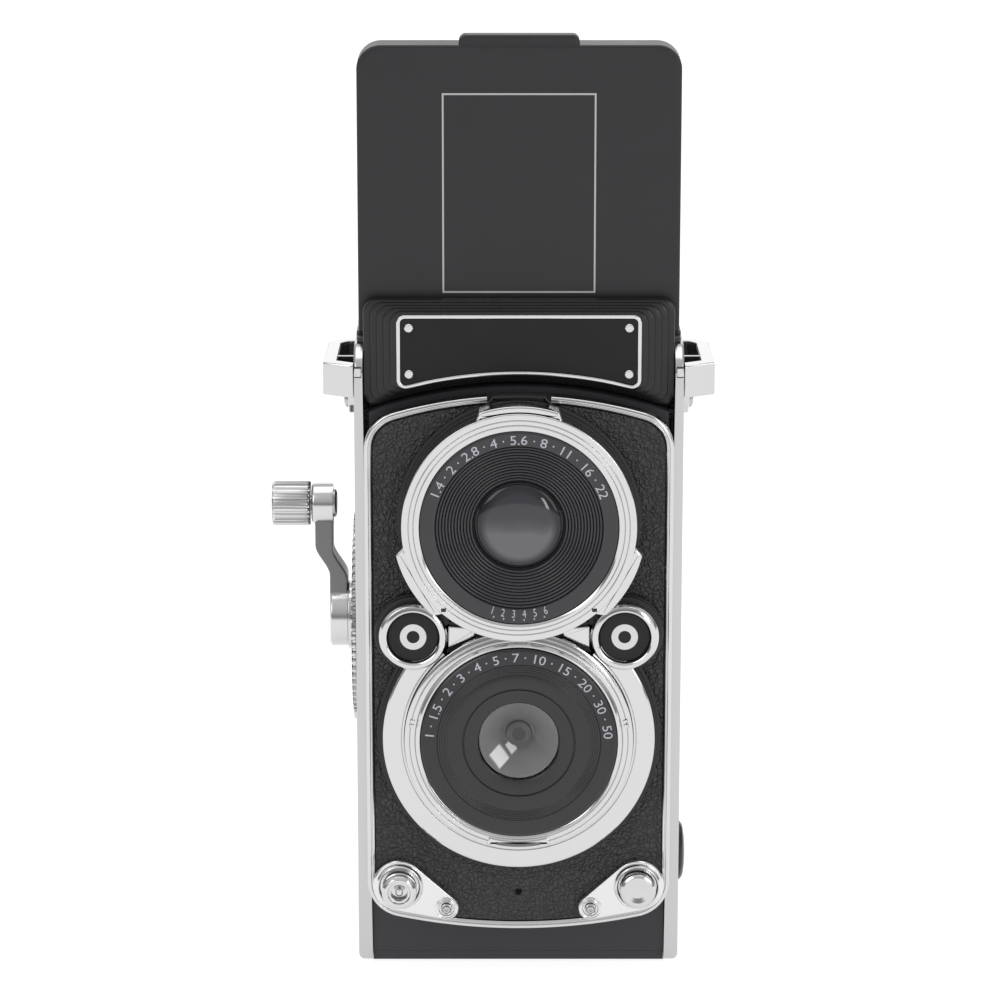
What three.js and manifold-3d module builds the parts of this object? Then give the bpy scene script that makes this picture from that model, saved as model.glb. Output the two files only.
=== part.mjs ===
// Miniature twin lens camera with an open hood lid. Millimetres, +Z up, the lenses look along -Y.
// The origin is the centre of the underside.
import * as THREE from 'three';
import { mergeVertices } from 'three/addons/utils/BufferGeometryUtils.js';
import Module from 'manifold-3d';

const wasm = await Module();
wasm.setup();

// ---- driving dimensions ----
const bodyWidth = 42.4;          // across the side frames
const bodyDepth = 42;            // front edge to rear edge of the side frames
const bodyHeight = 83.5;         // underside to the top of the side frames
const frameWall = 1.86;          // thickness of each chrome side frame
const frameBorder = 2.6;         // width of the frame round its window
const shellWall = 1.8;
const seatGap = 0.06;            // between pieces that rest on each other
const slipGap = 0.15;            // between a moving piece and what guides it
const boardWidth = 39.6;
const boardLow = 6.2;
const boardHigh = 78.4;          // crown of the lens board's arched top
const boardCrownRadius = 57;
const boardFootRadius = 75;
const boardCorner = 5;
const boardProud = 4;            // lens board face ahead of the side frames
const trimWidth = 0.96;
const leatherThick = 0.35;
const microphoneRadius = 0.375;
const plateThick = 1.45;         // black plate that carries the lenses
const upperAxisZ = 62.15;
const lowerAxisZ = 33.2;
const upperRingRadius = 15;
const tabReach = 1.2;            // bayonet tabs past the upper ring
const lowerRingRadius = 14.8;
const flangeRadius = 17.6;
const bezelRadius = 12.7;
const viewingLensRadius = 5.6;
const windowRadius = 5.2;
const dialX = 13.6;
const dialZ = 47.1;
const dialRadius = 4.4;
const dialCapRadius = 3.25;
const cornerX = 15.6;
const cornerZ = 12.4;
const cornerRadius = 3.5;
const cornerTailX = 9.45;
const cornerTailZ = 9.35;
const cornerTailRadius = 1.65;
const shutterRadius = 2.4;
const shutterTravel = 0.8;
const blockWidth = 40;
const blockTop = 89.5;
const blockSteps = 5;
const blockStepSide = 0.86;
const blockStepTop = 0.3;
const blockStepRise = 0.38;
const namePlateWidth = 31.4;
const lidWidth = 41.3;
const lidDepth = 4.8;            // front face to the open rim
const lidWall = 1.3;
const lidLength = 36.9;
const hingeRise = 2.8;           // lid axis above the side frames
const hingeSetback = 7.5;        // lid axis behind the side frames' front edge
const hingeReach = 3.5;          // lid axis behind the lid's outer face
const hingeFoot = 1.5;           // lid axis above the lid's lower end
const pinRadius = 0.75;
const deckThick = 1.4;
const screenWidth = 26;
const screenDepth = 20;
const wheelRadius = 14;
const wheelThick = 1.1;
const wheelTeeth = 60;
const crankY = -4.5;
const crankZ = 43.2;
const crankLength = 15.5;
const crankHubRadius = 4.6;
const hubRise = 0.25;
const armThick = 2.4;
const armWidth = 4.4;
const eyeRadius = 2.75;
const gripRadius = 3;
const gripLength = 5.1;
const gripRibs = 18;
const shaftRadius = 1.5;
const lugReach = 4;
const lugLength = 15.9;
const lugHeight = 4.4;
const lugTop = 81.3;
const lugWall = 1.7;             // outer wall of the strap loop
const powerRadius = 4;
const powerTravel = 0.5;
const powerY = -7.5;
const powerZ = 10.8;
const doorWidth = 16;
const doorHeight = 10;
const doorFoot = 9;
const keyRadius = 2.6;
const keyZ = 68;
const keyTravel = 0.4;
const bushY = 6.5;
const bushRadius = 5;
const bushBore = 3.175;          // quarter inch tripod thread
const rings = 36;                // facets round the large rings
const turns = 18;                // facets round small pieces

// ---- places worked out from them ----
const halfBody = bodyWidth / 2;
const innerHalf = halfBody - frameWall;
const frontY = -bodyDepth / 2;
const rearY = bodyDepth / 2;
const boardFace = frontY - boardProud;
const shellHalf = innerHalf - seatGap;
const shellFront = frontY + 0.6;
const shellRear = 12.5;
const plateFace = boardFace - seatGap - plateThick;
const ringSeat = plateFace - seatGap;
const blockBack = frontY + 3.4;
const blockFront = blockBack - 1.4 - blockStepRise * (blockSteps - 1);
const hingeY = frontY + hingeSetback;
const hingeZ = bodyHeight + hingeRise;
const deckTop = bodyHeight + 0.6;
const deckFoot = deckTop - deckThick;
const lidInner = lidWidth / 2 - lidWall;
const group = new THREE.Group();

// ---- finishes ----
const finish = (color, roughness, metalness) => ({ color, roughness, metalness });
const chrome = finish(0xd8dadc, 0.18, 1);
const satin = finish(0xc9cbcd, 0.35, 1);
const black = finish(0x2a2a2c, 0.5, 0);
const gloss = finish(0x161617, 0.25, 0);
const leather = finish(0x2e2e30, 0.75, 0);
const glass = finish(0x3a3f45, 0.05, 0);
const steel = finish(0x8e9092, 0.3, 1);
const boardGreen = finish(0x1f4a33, 0.6, 0);

// ---- tools ----
function toSolid(geometry) {
  const bare = geometry.clone();
  bare.deleteAttribute('normal');
  bare.deleteAttribute('uv');
  const merged = mergeVertices(bare, 1e-4);
  return new wasm.Manifold(new wasm.Mesh({
    numProp: 3,
    vertProperties: Float32Array.from(merged.attributes.position.array),
    triVerts: Uint32Array.from(merged.index.array),
  }));
}

function toGeometry(solid) {
  const mesh = solid.getMesh();
  const geometry = new THREE.BufferGeometry();
  geometry.setAttribute('position', new THREE.BufferAttribute(mesh.vertProperties, 3));
  geometry.setIndex(new THREE.BufferAttribute(mesh.triVerts, 1));
  geometry.computeVertexNormals();
  return geometry;
}

function cut(base, ...tools) {
  return toGeometry(tools.reduce((solid, tool) => solid.subtract(toSolid(tool)), toSolid(base)));
}

function join(base, ...others) {
  return toGeometry(others.reduce((solid, other) => solid.add(toSolid(other)), toSolid(base)));
}

function common(base, other) {
  return toGeometry(toSolid(base).intersect(toSolid(other)));
}

function add(name, geometry, look, place = [0, 0, 0]) {
  const mesh = new THREE.Mesh(geometry, new THREE.MeshStandardMaterial(look));
  mesh.name = name;
  mesh.position.set(...place);
  group.add(mesh);
  return mesh;
}

function block(x0, x1, y0, y1, z0, z1) {
  const geometry = new THREE.BoxGeometry(x1 - x0, y1 - y0, z1 - z0);
  return geometry.translate((x0 + x1) / 2, (y0 + y1) / 2, (z0 + z1) / 2);
}

// An outline in X and Z, extruded from yBack towards the front.
function frontSlab(shape, yBack, depth, curveSegments = 6) {
  const geometry = new THREE.ExtrudeGeometry(shape, { depth, bevelEnabled: false, curveSegments });
  return geometry.rotateX(Math.PI / 2).translate(0, yBack, 0);
}

// An outline in Y and Z, extruded along +X from xLow.
function sideSlab(shape, xLow, depth, curveSegments = 5) {
  const geometry = new THREE.ExtrudeGeometry(shape, { depth, bevelEnabled: false, curveSegments });
  const turn = new THREE.Matrix4().makeBasis(
    new THREE.Vector3(0, 1, 0),
    new THREE.Vector3(0, 0, 1),
    new THREE.Vector3(1, 0, 0),
  );
  return geometry.applyMatrix4(turn).translate(xLow, 0, 0);
}

// An outline in X and Y, extruded upwards from zLow.
function floorSlab(shape, zLow, depth, curveSegments = 8) {
  const geometry = new THREE.ExtrudeGeometry(shape, { depth, bevelEnabled: false, curveSegments });
  return geometry.translate(0, 0, zLow);
}

function turned(profile, segments) {
  return new THREE.LatheGeometry(profile.map(([r, h]) => new THREE.Vector2(r, h)), segments);
}

// A turned piece that rises towards the front from y, centred on x and z.
function frontTurned(profile, x, y, z, segments = rings) {
  return turned(profile, segments).rotateX(Math.PI).translate(x, y, z);
}

// A turned piece that rises outwards along X from x; side is -1 or +1.
function sideTurned(profile, x, y, z, side, segments = turns) {
  return turned(profile, segments).rotateZ(-side * Math.PI / 2).translate(x, y, z);
}

function upTurned(profile, x, y, z, segments = turns) {
  return turned(profile, segments).rotateX(Math.PI / 2).translate(x, y, z);
}

function rod(radius, length) {
  return [[0, 0], [radius, 0], [radius, length], [0, length]];
}

function tube(inner, outer, length) {
  return [[inner, 0], [outer, 0], [outer, length], [inner, length], [inner, 0]];
}

function roundRect(x0, x1, y0, y1, radius) {
  const shape = new THREE.Shape();
  shape.moveTo(x0 + radius, y0);
  shape.lineTo(x1 - radius, y0);
  shape.absarc(x1 - radius, y0 + radius, radius, -Math.PI / 2, 0);
  shape.absarc(x1 - radius, y1 - radius, radius, 0, Math.PI / 2);
  shape.absarc(x0 + radius, y1 - radius, radius, Math.PI / 2, Math.PI);
  shape.absarc(x0 + radius, y0 + radius, radius, Math.PI, Math.PI * 1.5);
  return shape;
}

// The outline round two circles, as a belt lies round two pulleys.
function belt(x0, z0, r0, x1, z1, r1) {
  const along = Math.atan2(z1 - z0, x1 - x0);
  const spread = Math.acos((r0 - r1) / Math.hypot(x1 - x0, z1 - z0));
  const shape = new THREE.Shape();
  shape.absarc(x1, z1, r1, along - spread, along + spread);
  shape.absarc(x0, z0, r0, along + spread, along - spread + 2 * Math.PI);
  return shape;
}

// The lens board's outline, drawn in from its edge by inset: straight sides between two shallow arches.
function boardOutline(inset) {
  const half = boardWidth / 2 - inset;
  const corner = boardCorner - inset;
  const crown = boardCrownRadius - inset;
  const foot = boardFootRadius - inset;
  const crownZ = boardHigh - boardCrownRadius;
  const footZ = boardLow + boardFootRadius;
  const cx = half - corner;
  const topZ = crownZ + Math.sqrt((crown - corner) ** 2 - cx ** 2);
  const lowZ = footZ - Math.sqrt((foot - corner) ** 2 - cx ** 2);
  const topTurn = Math.atan2(topZ - crownZ, cx);
  const lowTurn = Math.atan2(footZ - lowZ, cx);
  const shape = new THREE.Shape();
  shape.absarc(cx, topZ, corner, 0, topTurn);
  shape.absarc(0, crownZ, crown, topTurn, Math.PI - topTurn);
  shape.absarc(-cx, topZ, corner, Math.PI - topTurn, Math.PI);
  shape.absarc(-cx, lowZ, corner, Math.PI, Math.PI + lowTurn);
  shape.absarc(0, footZ, foot, Math.PI + lowTurn, 2 * Math.PI - lowTurn);
  shape.absarc(cx, lowZ, corner, -lowTurn, 0);
  return shape;
}

// The name block's outline: a round-cornered plate whose lower edge follows the board's crown.
function blockOutline(inset, insetTop, insetFoot, corner) {
  const half = blockWidth / 2 - inset;
  const top = blockTop - insetTop;
  const crownZ = boardHigh - boardCrownRadius;
  const under = boardCrownRadius + 0.3 + insetFoot;
  const turn = Math.asin(half / under);
  const shape = new THREE.Shape();
  shape.absarc(half - corner, top - corner, corner, 0, Math.PI / 2);
  shape.absarc(-half + corner, top - corner, corner, Math.PI / 2, Math.PI);
  shape.absarc(0, crownZ, under, Math.PI / 2 + turn, Math.PI / 2 - turn, true);
  return shape;
}

function disc(x, z, radius, yBack, depth, segments = rings) {
  return frontTurned(rod(radius, depth), x, yBack, z, segments);
}

// ---- shell, rear cover and base ----
const baseThick = 1.2;
const shellFoot = baseThick + seatGap;
const shellTop = deckFoot - seatGap;
const barrelHole = 5.6;
const blockPocket = frontSlab(blockOutline(-0.3, -8, -0.25, 1), blockBack + 0.2, 6);
const shellBody = block(-shellHalf, shellHalf, shellFront, shellRear, shellFoot, shellTop);
const shellHollow = block(
  -shellHalf + shellWall, shellHalf - shellWall,
  blockBack + 0.2 + shellWall, shellRear + 1,
  shellFoot + shellWall, shellTop - shellWall,
);
const shaftHole = sideTurned(rod(shaftRadius + slipGap, 8), -halfBody + 6, crankY, crankZ, -1);
const bushHeight = 5;
const bushHole = upTurned(rod(bushRadius + seatGap, bushHeight + 1), 0, bushY, -0.5);
add('front_shell', cut(
  shellBody,
  shellHollow,
  blockPocket,
  disc(0, lowerAxisZ, barrelHole, blockBack + 6, 12),
  shaftHole,
  bushHole,
), black);

const coverDepth = rearY - 0.4 - shellRear - seatGap;
const coverFront = shellRear + seatGap;
const coverRear = coverFront + coverDepth;
const pocketInset = 1.5;
const doorPocket = block(
  -doorWidth / 2 + pocketInset + 0.5, doorWidth / 2 - pocketInset - 0.5,
  coverRear - 1, coverRear + 1,
  doorFoot + pocketInset, doorFoot + doorHeight - pocketInset,
);
add('rear_cover', cut(
  block(-shellHalf, shellHalf, coverFront, coverRear, shellFoot, shellTop),
  block(
    -shellHalf + shellWall, shellHalf - shellWall,
    coverFront - 1, coverRear - shellWall,
    shellFoot + shellWall, shellTop - shellWall,
  ),
  doorPocket,
), black);

const panelThick = 0.55;
const panelBack = coverRear + seatGap;
const panelMargin = 1.5;         // cover left bare at each side of the leather
const panelEnds = 4;             // and at its top and bottom
const panelHole = roundRect(
  -doorWidth / 2 - slipGap, doorWidth / 2 + slipGap,
  doorFoot - slipGap, doorFoot + doorHeight + slipGap, 1,
);
const panelShape = roundRect(
  -shellHalf + panelMargin, shellHalf - panelMargin, panelEnds, bodyHeight - panelEnds, 2,
);
add('rear_panel', cut(
  frontSlab(panelShape, panelBack + panelThick, panelThick, 5),
  frontSlab(panelHole, panelBack + 2, 4, 4),
  disc(0, keyZ, keyRadius + slipGap, panelBack + 2, 4, turns),
), leather);

const doorThick = 0.9;
const doorShape = roundRect(-doorWidth / 2, doorWidth / 2, doorFoot, doorFoot + doorHeight, 0.8);
const doorPull = block(
  doorWidth / 2 - 2.2, doorWidth / 2 - 1.2,
  panelBack + 0.5, panelBack + doorThick + 0.4,
  doorFoot + 3, doorFoot + doorHeight - 3,
);
add('port_door', join(frontSlab(doorShape, panelBack + doorThick, doorThick, 4), doorPull), black);

const keyBack = panelBack + keyTravel + 0.1;
const keyProfile = [[0, -1.3], [keyRadius - 0.5, -1.2], [keyRadius, -0.9], [keyRadius, 0], [0, 0]];
add('rear_key', frontTurned(keyProfile, 0, keyBack, keyZ, turns), gloss);

add('base_plate', cut(
  block(-shellHalf, shellHalf, shellFront + 0.1, rearY - 0.5, 0, baseThick),
  bushHole,
), black);

add('tripod_bush', upTurned(tube(bushBore, bushRadius, bushHeight), 0, bushY, 0.1), satin);

// ---- side frames and side panels ----
// Side view outline, with a wide front corner at the top, where the name block stands.
function frameOutline(inset) {
  const front = frontY + inset;
  const rear = rearY - inset;
  const foot = inset;
  const top = bodyHeight - inset;
  const footCorner = 1;
  const rearCorner = 3;
  const shape = new THREE.Shape();
  shape.moveTo(front + footCorner, foot);
  shape.lineTo(rear - footCorner, foot);
  shape.absarc(rear - footCorner, foot + footCorner, footCorner, -Math.PI / 2, 0);
  shape.absarc(rear - rearCorner, top - rearCorner, rearCorner, 0, Math.PI / 2);
  shape.lineTo(front + 3.6, top);
  shape.quadraticCurveTo(front + 0.9, top - 0.9, front, top - 3.2);
  shape.absarc(front + footCorner, foot + footCorner, footCorner, Math.PI, Math.PI * 1.5);
  return shape;
}

const panelInset = 0.5;
for (const [word, side] of [['left', -1], ['right', 1]]) {
  const xLow = side < 0 ? -halfBody : innerHalf;
  const frame = cut(
    sideSlab(frameOutline(0), xLow, frameWall),
    sideSlab(frameOutline(frameBorder), xLow - 1, frameWall + 2),
    blockPocket,
  );
  add(`side_frame_${word}`, frame, chrome);
  const panelLow = side < 0 ? -halfBody + panelInset : innerHalf;
  const panel = sideSlab(frameOutline(frameBorder + seatGap), panelLow, frameWall - panelInset);
  const hole = side < 0
    ? shaftHole
    : sideTurned(rod(powerRadius + slipGap, 6), innerHalf - 1, powerY, powerZ, 1);
  add(`side_panel_${word}`, cut(panel, hole, blockPocket), leather);
}
add('power_button', sideTurned([
  [0, 0], [powerRadius, 0], [powerRadius, 1.9], [powerRadius - 0.5, 2.3], [0, 2.65],
], innerHalf + powerTravel + 0.05, powerY, powerZ, 1), gloss);

// ---- top deck and screen ----
const earRadius = 1.8;
const earWide = 1.5;
const earOuter = lidInner - 0.3;
const screenRise = 2.4;
const screenSink = 1.2;          // depth of the seat that the screen glass lies in
const screenBorder = 3;
const screenY = 5;
const deckRear = rearY - 0.2;
const deckFront = blockBack + 0.3;
const deckPieces = [
  block(-shellHalf, shellHalf, deckFront, deckRear, deckFoot, deckTop),
  block(-halfBody + 0.3, halfBody - 0.3, deckFront, deckRear, bodyHeight + seatGap, deckTop),
  floorSlab(roundRect(
    -screenWidth / 2 - screenBorder, screenWidth / 2 + screenBorder,
    screenY - screenDepth / 2 - screenBorder, screenY + screenDepth / 2 + screenBorder, 2,
  ), deckTop - 0.5, screenRise + 0.5, 5),
];
for (const side of [-1, 1]) {
  const xInner = side < 0 ? -earOuter : earOuter - earWide;
  deckPieces.push(block(
    xInner, xInner + earWide, hingeY - earRadius, hingeY + earRadius, deckTop - 0.5, hingeZ,
  ));
  deckPieces.push(sideTurned(rod(earRadius, earWide), xInner, hingeY, hingeZ, 1));
}
const screenSeat = floorSlab(roundRect(-screenWidth / 2, screenWidth / 2, screenY - screenDepth / 2,
  screenY + screenDepth / 2, 0.8), deckTop + screenRise - screenSink, 3, 4);
const pinHoles = sideTurned(rod(pinRadius + seatGap, lidWidth + 4), -lidWidth / 2 - 2, hingeY, hingeZ, 1);
add('top_deck', cut(join(...deckPieces), screenSeat, pinHoles), black);
const glassShape = roundRect(
  -screenWidth / 2 + seatGap, screenWidth / 2 - seatGap,
  screenY - screenDepth / 2 + seatGap, screenY + screenDepth / 2 - seatGap, 0.7,
);
add('screen_glass', floorSlab(glassShape, deckTop + screenRise - screenSink + seatGap, 1, 4), glass);

// ---- hood lid, stored open ----
const lidFront = hingeY - hingeReach;
const lidBack = lidFront + lidDepth;
const lidLow = hingeZ - hingeFoot;
const lidHigh = lidLow + lidLength;
const tabWidth = 15.3;
const tabRise = 1.5;
const tabDepth = 2.6;
const lidShape = roundRect(-lidWidth / 2, lidWidth / 2, lidLow, lidHigh, 3.1);
const lidHollow = roundRect(-lidInner, lidInner, lidLow - 6, lidHigh - lidWall, 1.8);
const lidTab = roundRect(-tabWidth / 2, tabWidth / 2, lidHigh - 3, lidHigh + tabRise, 0.9);
add('hood_lid', cut(
  join(frontSlab(lidShape, lidBack, lidDepth, 6), frontSlab(lidTab, lidFront + tabDepth, tabDepth, 4)),
  frontSlab(lidHollow, lidBack + 1, lidDepth + 1 - lidWall, 5),
  sideTurned(rod(pinRadius + slipGap, lidWidth + 4), -lidWidth / 2 - 2, hingeY, hingeZ, 1),
), black);
for (const [word, side] of [['left', -1], ['right', 1]]) {
  const start = side * (earOuter - earWide);
  add(`hinge_pin_${word}`, sideTurned(rod(pinRadius, earWide + lidWall), start, hingeY, hingeZ, side), steel);
}

// ---- name block ----
const steps = [];
for (let i = 0; i < blockSteps; i++) {
  const outline = blockOutline(blockStepSide * i, blockStepTop * i, 0.3 * i, 1.1);
  steps.push(frontSlab(outline, blockBack, 1.4 + blockStepRise * i, 6));
}
add('name_block', join(...steps), black);

const trimInset = (blockWidth - namePlateWidth) / 2;
const trimLine = 0.5;
const trimTop = 1.6;
const trimFoot = 1.3;
const trimBack = blockFront - seatGap;
const plateGrow = trimLine + seatGap;
const plateSheet = 0.2;
const trimOuter = blockOutline(trimInset, trimTop, trimFoot, 1.1);
const trimInner = blockOutline(trimInset + trimLine, trimTop + trimLine, trimFoot + trimLine, 0.6);
const plateShape = blockOutline(trimInset + plateGrow, trimTop + plateGrow, trimFoot + plateGrow, 0.55);
add('name_trim', cut(
  frontSlab(trimOuter, trimBack, 0.3, 6),
  frontSlab(trimInner, trimBack + 1, 3, 6),
), chrome);
add('name_plate', frontSlab(plateShape, trimBack, plateSheet, 6), gloss);
const rivet = [[0, 0], [0.55, 0], [0.5, 0.18], [0.25, 0.3], [0, 0.32]];
const rivetX = namePlateWidth / 2 - 1.6;
const rivetHigh = blockTop - 3.3;
const rivetLow = rivetHigh - 6.05;
const rivetPlaces = [[-rivetX, rivetHigh], [rivetX, rivetHigh], [-rivetX, rivetLow], [rivetX, rivetLow]];
rivetPlaces.forEach(([x, z], i) => {
  add(`name_rivet_${i + 1}`, frontTurned(rivet, x, trimBack - plateSheet - seatGap, z, 12), chrome);
});

// ---- corner plates, used to cut the board's trim ----
function cornerOutline(side, grow) {
  return belt(side * cornerX, cornerZ, cornerRadius + grow, side * cornerTailX, cornerTailZ,
    cornerTailRadius + grow);
}

// ---- lens board ----
const boardBack = shellFront - seatGap;
const leatherBack = boardFace + leatherThick;
const boardFront = leatherBack + seatGap;
const trimDepth = 1.5;
const bumpHalf = 3.6;            // the small bump that breaks the trim at the board's crown
const bumpDrop = 1.5;
const bump = common(
  frontSlab(boardOutline(0), boardFace + trimDepth, trimDepth + 0.35),
  block(-bumpHalf, bumpHalf, boardFace - 2, boardFace + 2, boardHigh - bumpDrop, boardHigh + 1),
);
const bumpClear = block(
  -bumpHalf - seatGap, bumpHalf + seatGap,
  boardFace - 3, boardFace + 3,
  boardHigh - bumpDrop - 0.1, boardHigh + 1,
);
const bore = disc(0, lowerAxisZ, barrelHole, boardBack + 5, 20);
add('lens_board', cut(
  join(
    frontSlab(boardOutline(0.65), boardBack, boardBack - boardFace - trimDepth - seatGap),
    frontSlab(boardOutline(trimWidth + seatGap), boardBack, boardBack - boardFront),
    bump,
  ),
  bore,
), black);
add('board_trim', cut(
  frontSlab(boardOutline(0), boardFace + trimDepth, trimDepth + 0.3),
  frontSlab(boardOutline(trimWidth), boardFace + 3, 5),
  bumpClear,
  frontSlab(cornerOutline(-1, 0.1), boardFace - 0.06, 2),
  frontSlab(cornerOutline(1, 0.1), boardFace - 0.06, 2),
), chrome);
add('board_leather', cut(
  frontSlab(boardOutline(trimWidth + 0.15), leatherBack, leatherThick),
  bore,
  bumpClear,
  frontTurned(rod(microphoneRadius, 3), 0, boardFace + 2, boardLow + 5.1, 12),
), leather);

// ---- black lens plate and everything that sits on it ----
const plateBack = boardFace - seatGap;
add('lens_plate', cut(
  join(
    disc(0, upperAxisZ, upperRingRadius + 0.7, plateBack, plateThick),
    disc(0, lowerAxisZ, flangeRadius + 0.8, plateBack, plateThick),
    disc(-dialX, dialZ, dialRadius + 0.7, plateBack, plateThick, turns),
    disc(dialX, dialZ, dialRadius + 0.7, plateBack, plateThick, turns),
  ),
  bore,
  bumpClear,
), black);

// A bayonet tab: a sector of a ring on the upper ring's edge, centred on an angle in degrees.
function tab(grow, angle, spread, height, z) {
  const middle = THREE.MathUtils.degToRad(angle);
  const half = THREE.MathUtils.degToRad(spread);
  const shape = new THREE.Shape();
  shape.absarc(0, 0, upperRingRadius + tabReach + grow, middle - half, middle + half);
  shape.absarc(0, 0, upperRingRadius - 1, middle + half, middle - half, true);
  return frontSlab(shape, ringSeat, height).translate(0, 0, z);
}

const ringBore = bezelRadius + seatGap;
const upperRing = frontTurned([
  [ringBore, 0], [upperRingRadius, 0], [upperRingRadius, 1.35], [upperRingRadius - 0.35, 1.75],
  [upperRingRadius - 1.9, 3.2], [ringBore + 0.24, 3.6], [ringBore, 3.4], [ringBore, 0],
], 0, ringSeat, upperAxisZ);
const dialClear = [-dialX, dialX].map((x) => disc(x, dialZ, dialRadius + slipGap, ringSeat + 1, 6, turns));
add('upper_bayonet_ring', cut(
  join(upperRing, ...[90, 210, 330].map((angle) => tab(0, angle, 18, 1.3, upperAxisZ))),
  ...dialClear,
), chrome);
add('upper_bezel', frontTurned([
  [0, 0], [bezelRadius, 0], [bezelRadius, 3.3], [bezelRadius - 0.3, 3.45], [10.6, 3.3],
  [viewingLensRadius + 0.5, 2], [viewingLensRadius + seatGap, 1.7], [viewingLensRadius + seatGap, 0.8],
  [0, 0.8],
], 0, ringSeat, upperAxisZ), black);
add('viewing_lens', frontTurned([
  [0, 0], [viewingLensRadius, 0], [viewingLensRadius, 0.8], [4.2, 1.35], [2.2, 1.75], [0, 1.88],
], 0, ringSeat - 0.8 - seatGap, upperAxisZ), glass);

const upperClear = disc(0, upperAxisZ, upperRingRadius + 0.1, ringSeat + 1, 6);
const upperTabs = [210, 330].map((angle) => tab(slipGap, angle, 20, 1.6, upperAxisZ).translate(0, 0.1, 0));
add('lower_flange', cut(
  frontTurned([
    [lowerRingRadius + seatGap, 0], [flangeRadius, 0], [flangeRadius, 0.95], [flangeRadius - 0.3, 1.25],
    [lowerRingRadius + seatGap, 1.25], [lowerRingRadius + seatGap, 0],
  ], 0, ringSeat, lowerAxisZ),
  upperClear,
  ...dialClear,
  ...upperTabs,
), chrome);
add('lower_bayonet_ring', cut(
  frontTurned([
    [ringBore, 0], [lowerRingRadius, 0], [lowerRingRadius, 1.7], [lowerRingRadius - 0.4, 2.1],
    [ringBore + 0.54, 2.7], [ringBore, 2.6], [ringBore, 0],
  ], 0, ringSeat, lowerAxisZ),
  upperClear,
), chrome);
add('lower_bezel', frontTurned([
  [windowRadius - 0.5, 0], [bezelRadius, 0], [bezelRadius, 2.5], [bezelRadius - 0.4, 2.75], [10.9, 2.6],
  [7.2, 2.2], [7, 1.9], [windowRadius + seatGap, 1.7], [windowRadius + seatGap, 0.6],
  [windowRadius - 0.5, 0.6],
  [windowRadius - 0.5, 0],
], 0, ringSeat, lowerAxisZ), black);
add('lens_window', frontTurned(rod(windowRadius, 0.8), 0, ringSeat - 0.6 - seatGap, lowerAxisZ), glass);

const sensorY = shellFront + 8;
const barrelFront = plateFace + 1.2;
const barrelRadius = barrelHole - 0.2;
const barrelLength = sensorY - seatGap - barrelFront;
const sensorHalf = 9;
add('lens_barrel', frontTurned([
  [0, 0], [barrelRadius, 0], [barrelRadius, barrelLength - 2.6], [3.6, barrelLength - 2.6],
  [2.4, barrelLength - 0.7], [1.7, barrelLength], [0, barrelLength + 0.25],
], 0, sensorY - seatGap, lowerAxisZ, turns), gloss);
add('sensor_board', block(
  -sensorHalf, sensorHalf, sensorY, sensorY + 1, lowerAxisZ - sensorHalf, lowerAxisZ + sensorHalf,
), boardGreen);

const bridgeInner = 7;
const bridgeOuter = 12;
const bridgeLow = dialZ - 2.1;
const bridgeHigh = dialZ + 5.9;
for (const [word, side] of [['left', -1], ['right', 1]]) {
  const x = side * dialX;
  const xLow = side < 0 ? -bridgeOuter : bridgeInner;
  const bridge = block(
    xLow, xLow + bridgeOuter - bridgeInner, ringSeat - 0.7, ringSeat, bridgeLow, bridgeHigh,
  );
  add(`bridge_${word}`, cut(
    bridge,
    upperClear,
    disc(0, lowerAxisZ, flangeRadius + 0.1, ringSeat + 1, 6),
    ...dialClear,
    ...upperTabs,
  ), chrome);
  add(`dial_rim_${word}`, frontTurned([
    [dialCapRadius + seatGap, 0], [dialRadius, 0], [dialRadius, 1.3], [dialRadius - 0.5, 1.9],
    [dialCapRadius + 0.3, 1.8], [dialCapRadius + seatGap, 1.4], [dialCapRadius + seatGap, 0],
  ], x, ringSeat, dialZ, turns), chrome);
  add(`dial_cap_${word}`, frontTurned([
    [0, 0], [dialCapRadius, 0], [dialCapRadius, 1.15], [dialCapRadius - 0.3, 1.35], [0, 1.35],
  ], x, ringSeat, dialZ, turns), gloss);
}

// ---- corner plates with the sync socket and the shutter button ----
const cornerBack = boardFace - seatGap;
const cornerThick = 0.95;
const cornerFace = cornerBack - cornerThick;
const collarRadius = 3.1;
const collarRise = 0.9;
const screwPad = 0.3;
const socketRadius = 2.3;
const socketFloor = 0.3;         // plate left behind the socket
for (const [word, side] of [['left', -1], ['right', 1]]) {
  const tailX = side * cornerTailX;
  const plate = join(
    frontSlab(cornerOutline(side, 0), cornerBack, cornerThick, 12),
    frontTurned(rod(collarRadius, collarRise), side * cornerX, cornerFace, cornerZ, turns),
    frontTurned([[0, 0], [1.2, 0], [1.1, screwPad], [0, screwPad]], tailX, cornerFace, cornerTailZ, turns),
  );
  const seat = side < 0
    ? frontTurned(rod(socketRadius + seatGap, 3), side * cornerX, cornerBack - socketFloor, cornerZ, turns)
    : frontTurned(rod(shutterRadius + slipGap, 4), side * cornerX, cornerBack + 1, cornerZ, turns);
  add(`corner_plate_${word}`, cut(plate, seat), chrome);
  const screw = [[0, 0], [0.75, 0], [0.7, 0.25], [0, 0.3]];
  const screwSeat = cornerFace - screwPad - seatGap;
  add(`plate_screw_${word}`, frontTurned(screw, tailX, screwSeat, cornerTailZ, 16), steel);
}
add('sync_socket', frontTurned([
  [0, 0], [socketRadius, 0], [socketRadius, 2.9], [socketRadius - 0.3, 3.4], [1.06, 3.4], [1.06, 1.6],
  [0.48, 1.6], [0.48, 2.9], [0, 3.1],
], -cornerX, cornerBack - socketFloor - seatGap, cornerZ, turns), chrome);
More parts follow.
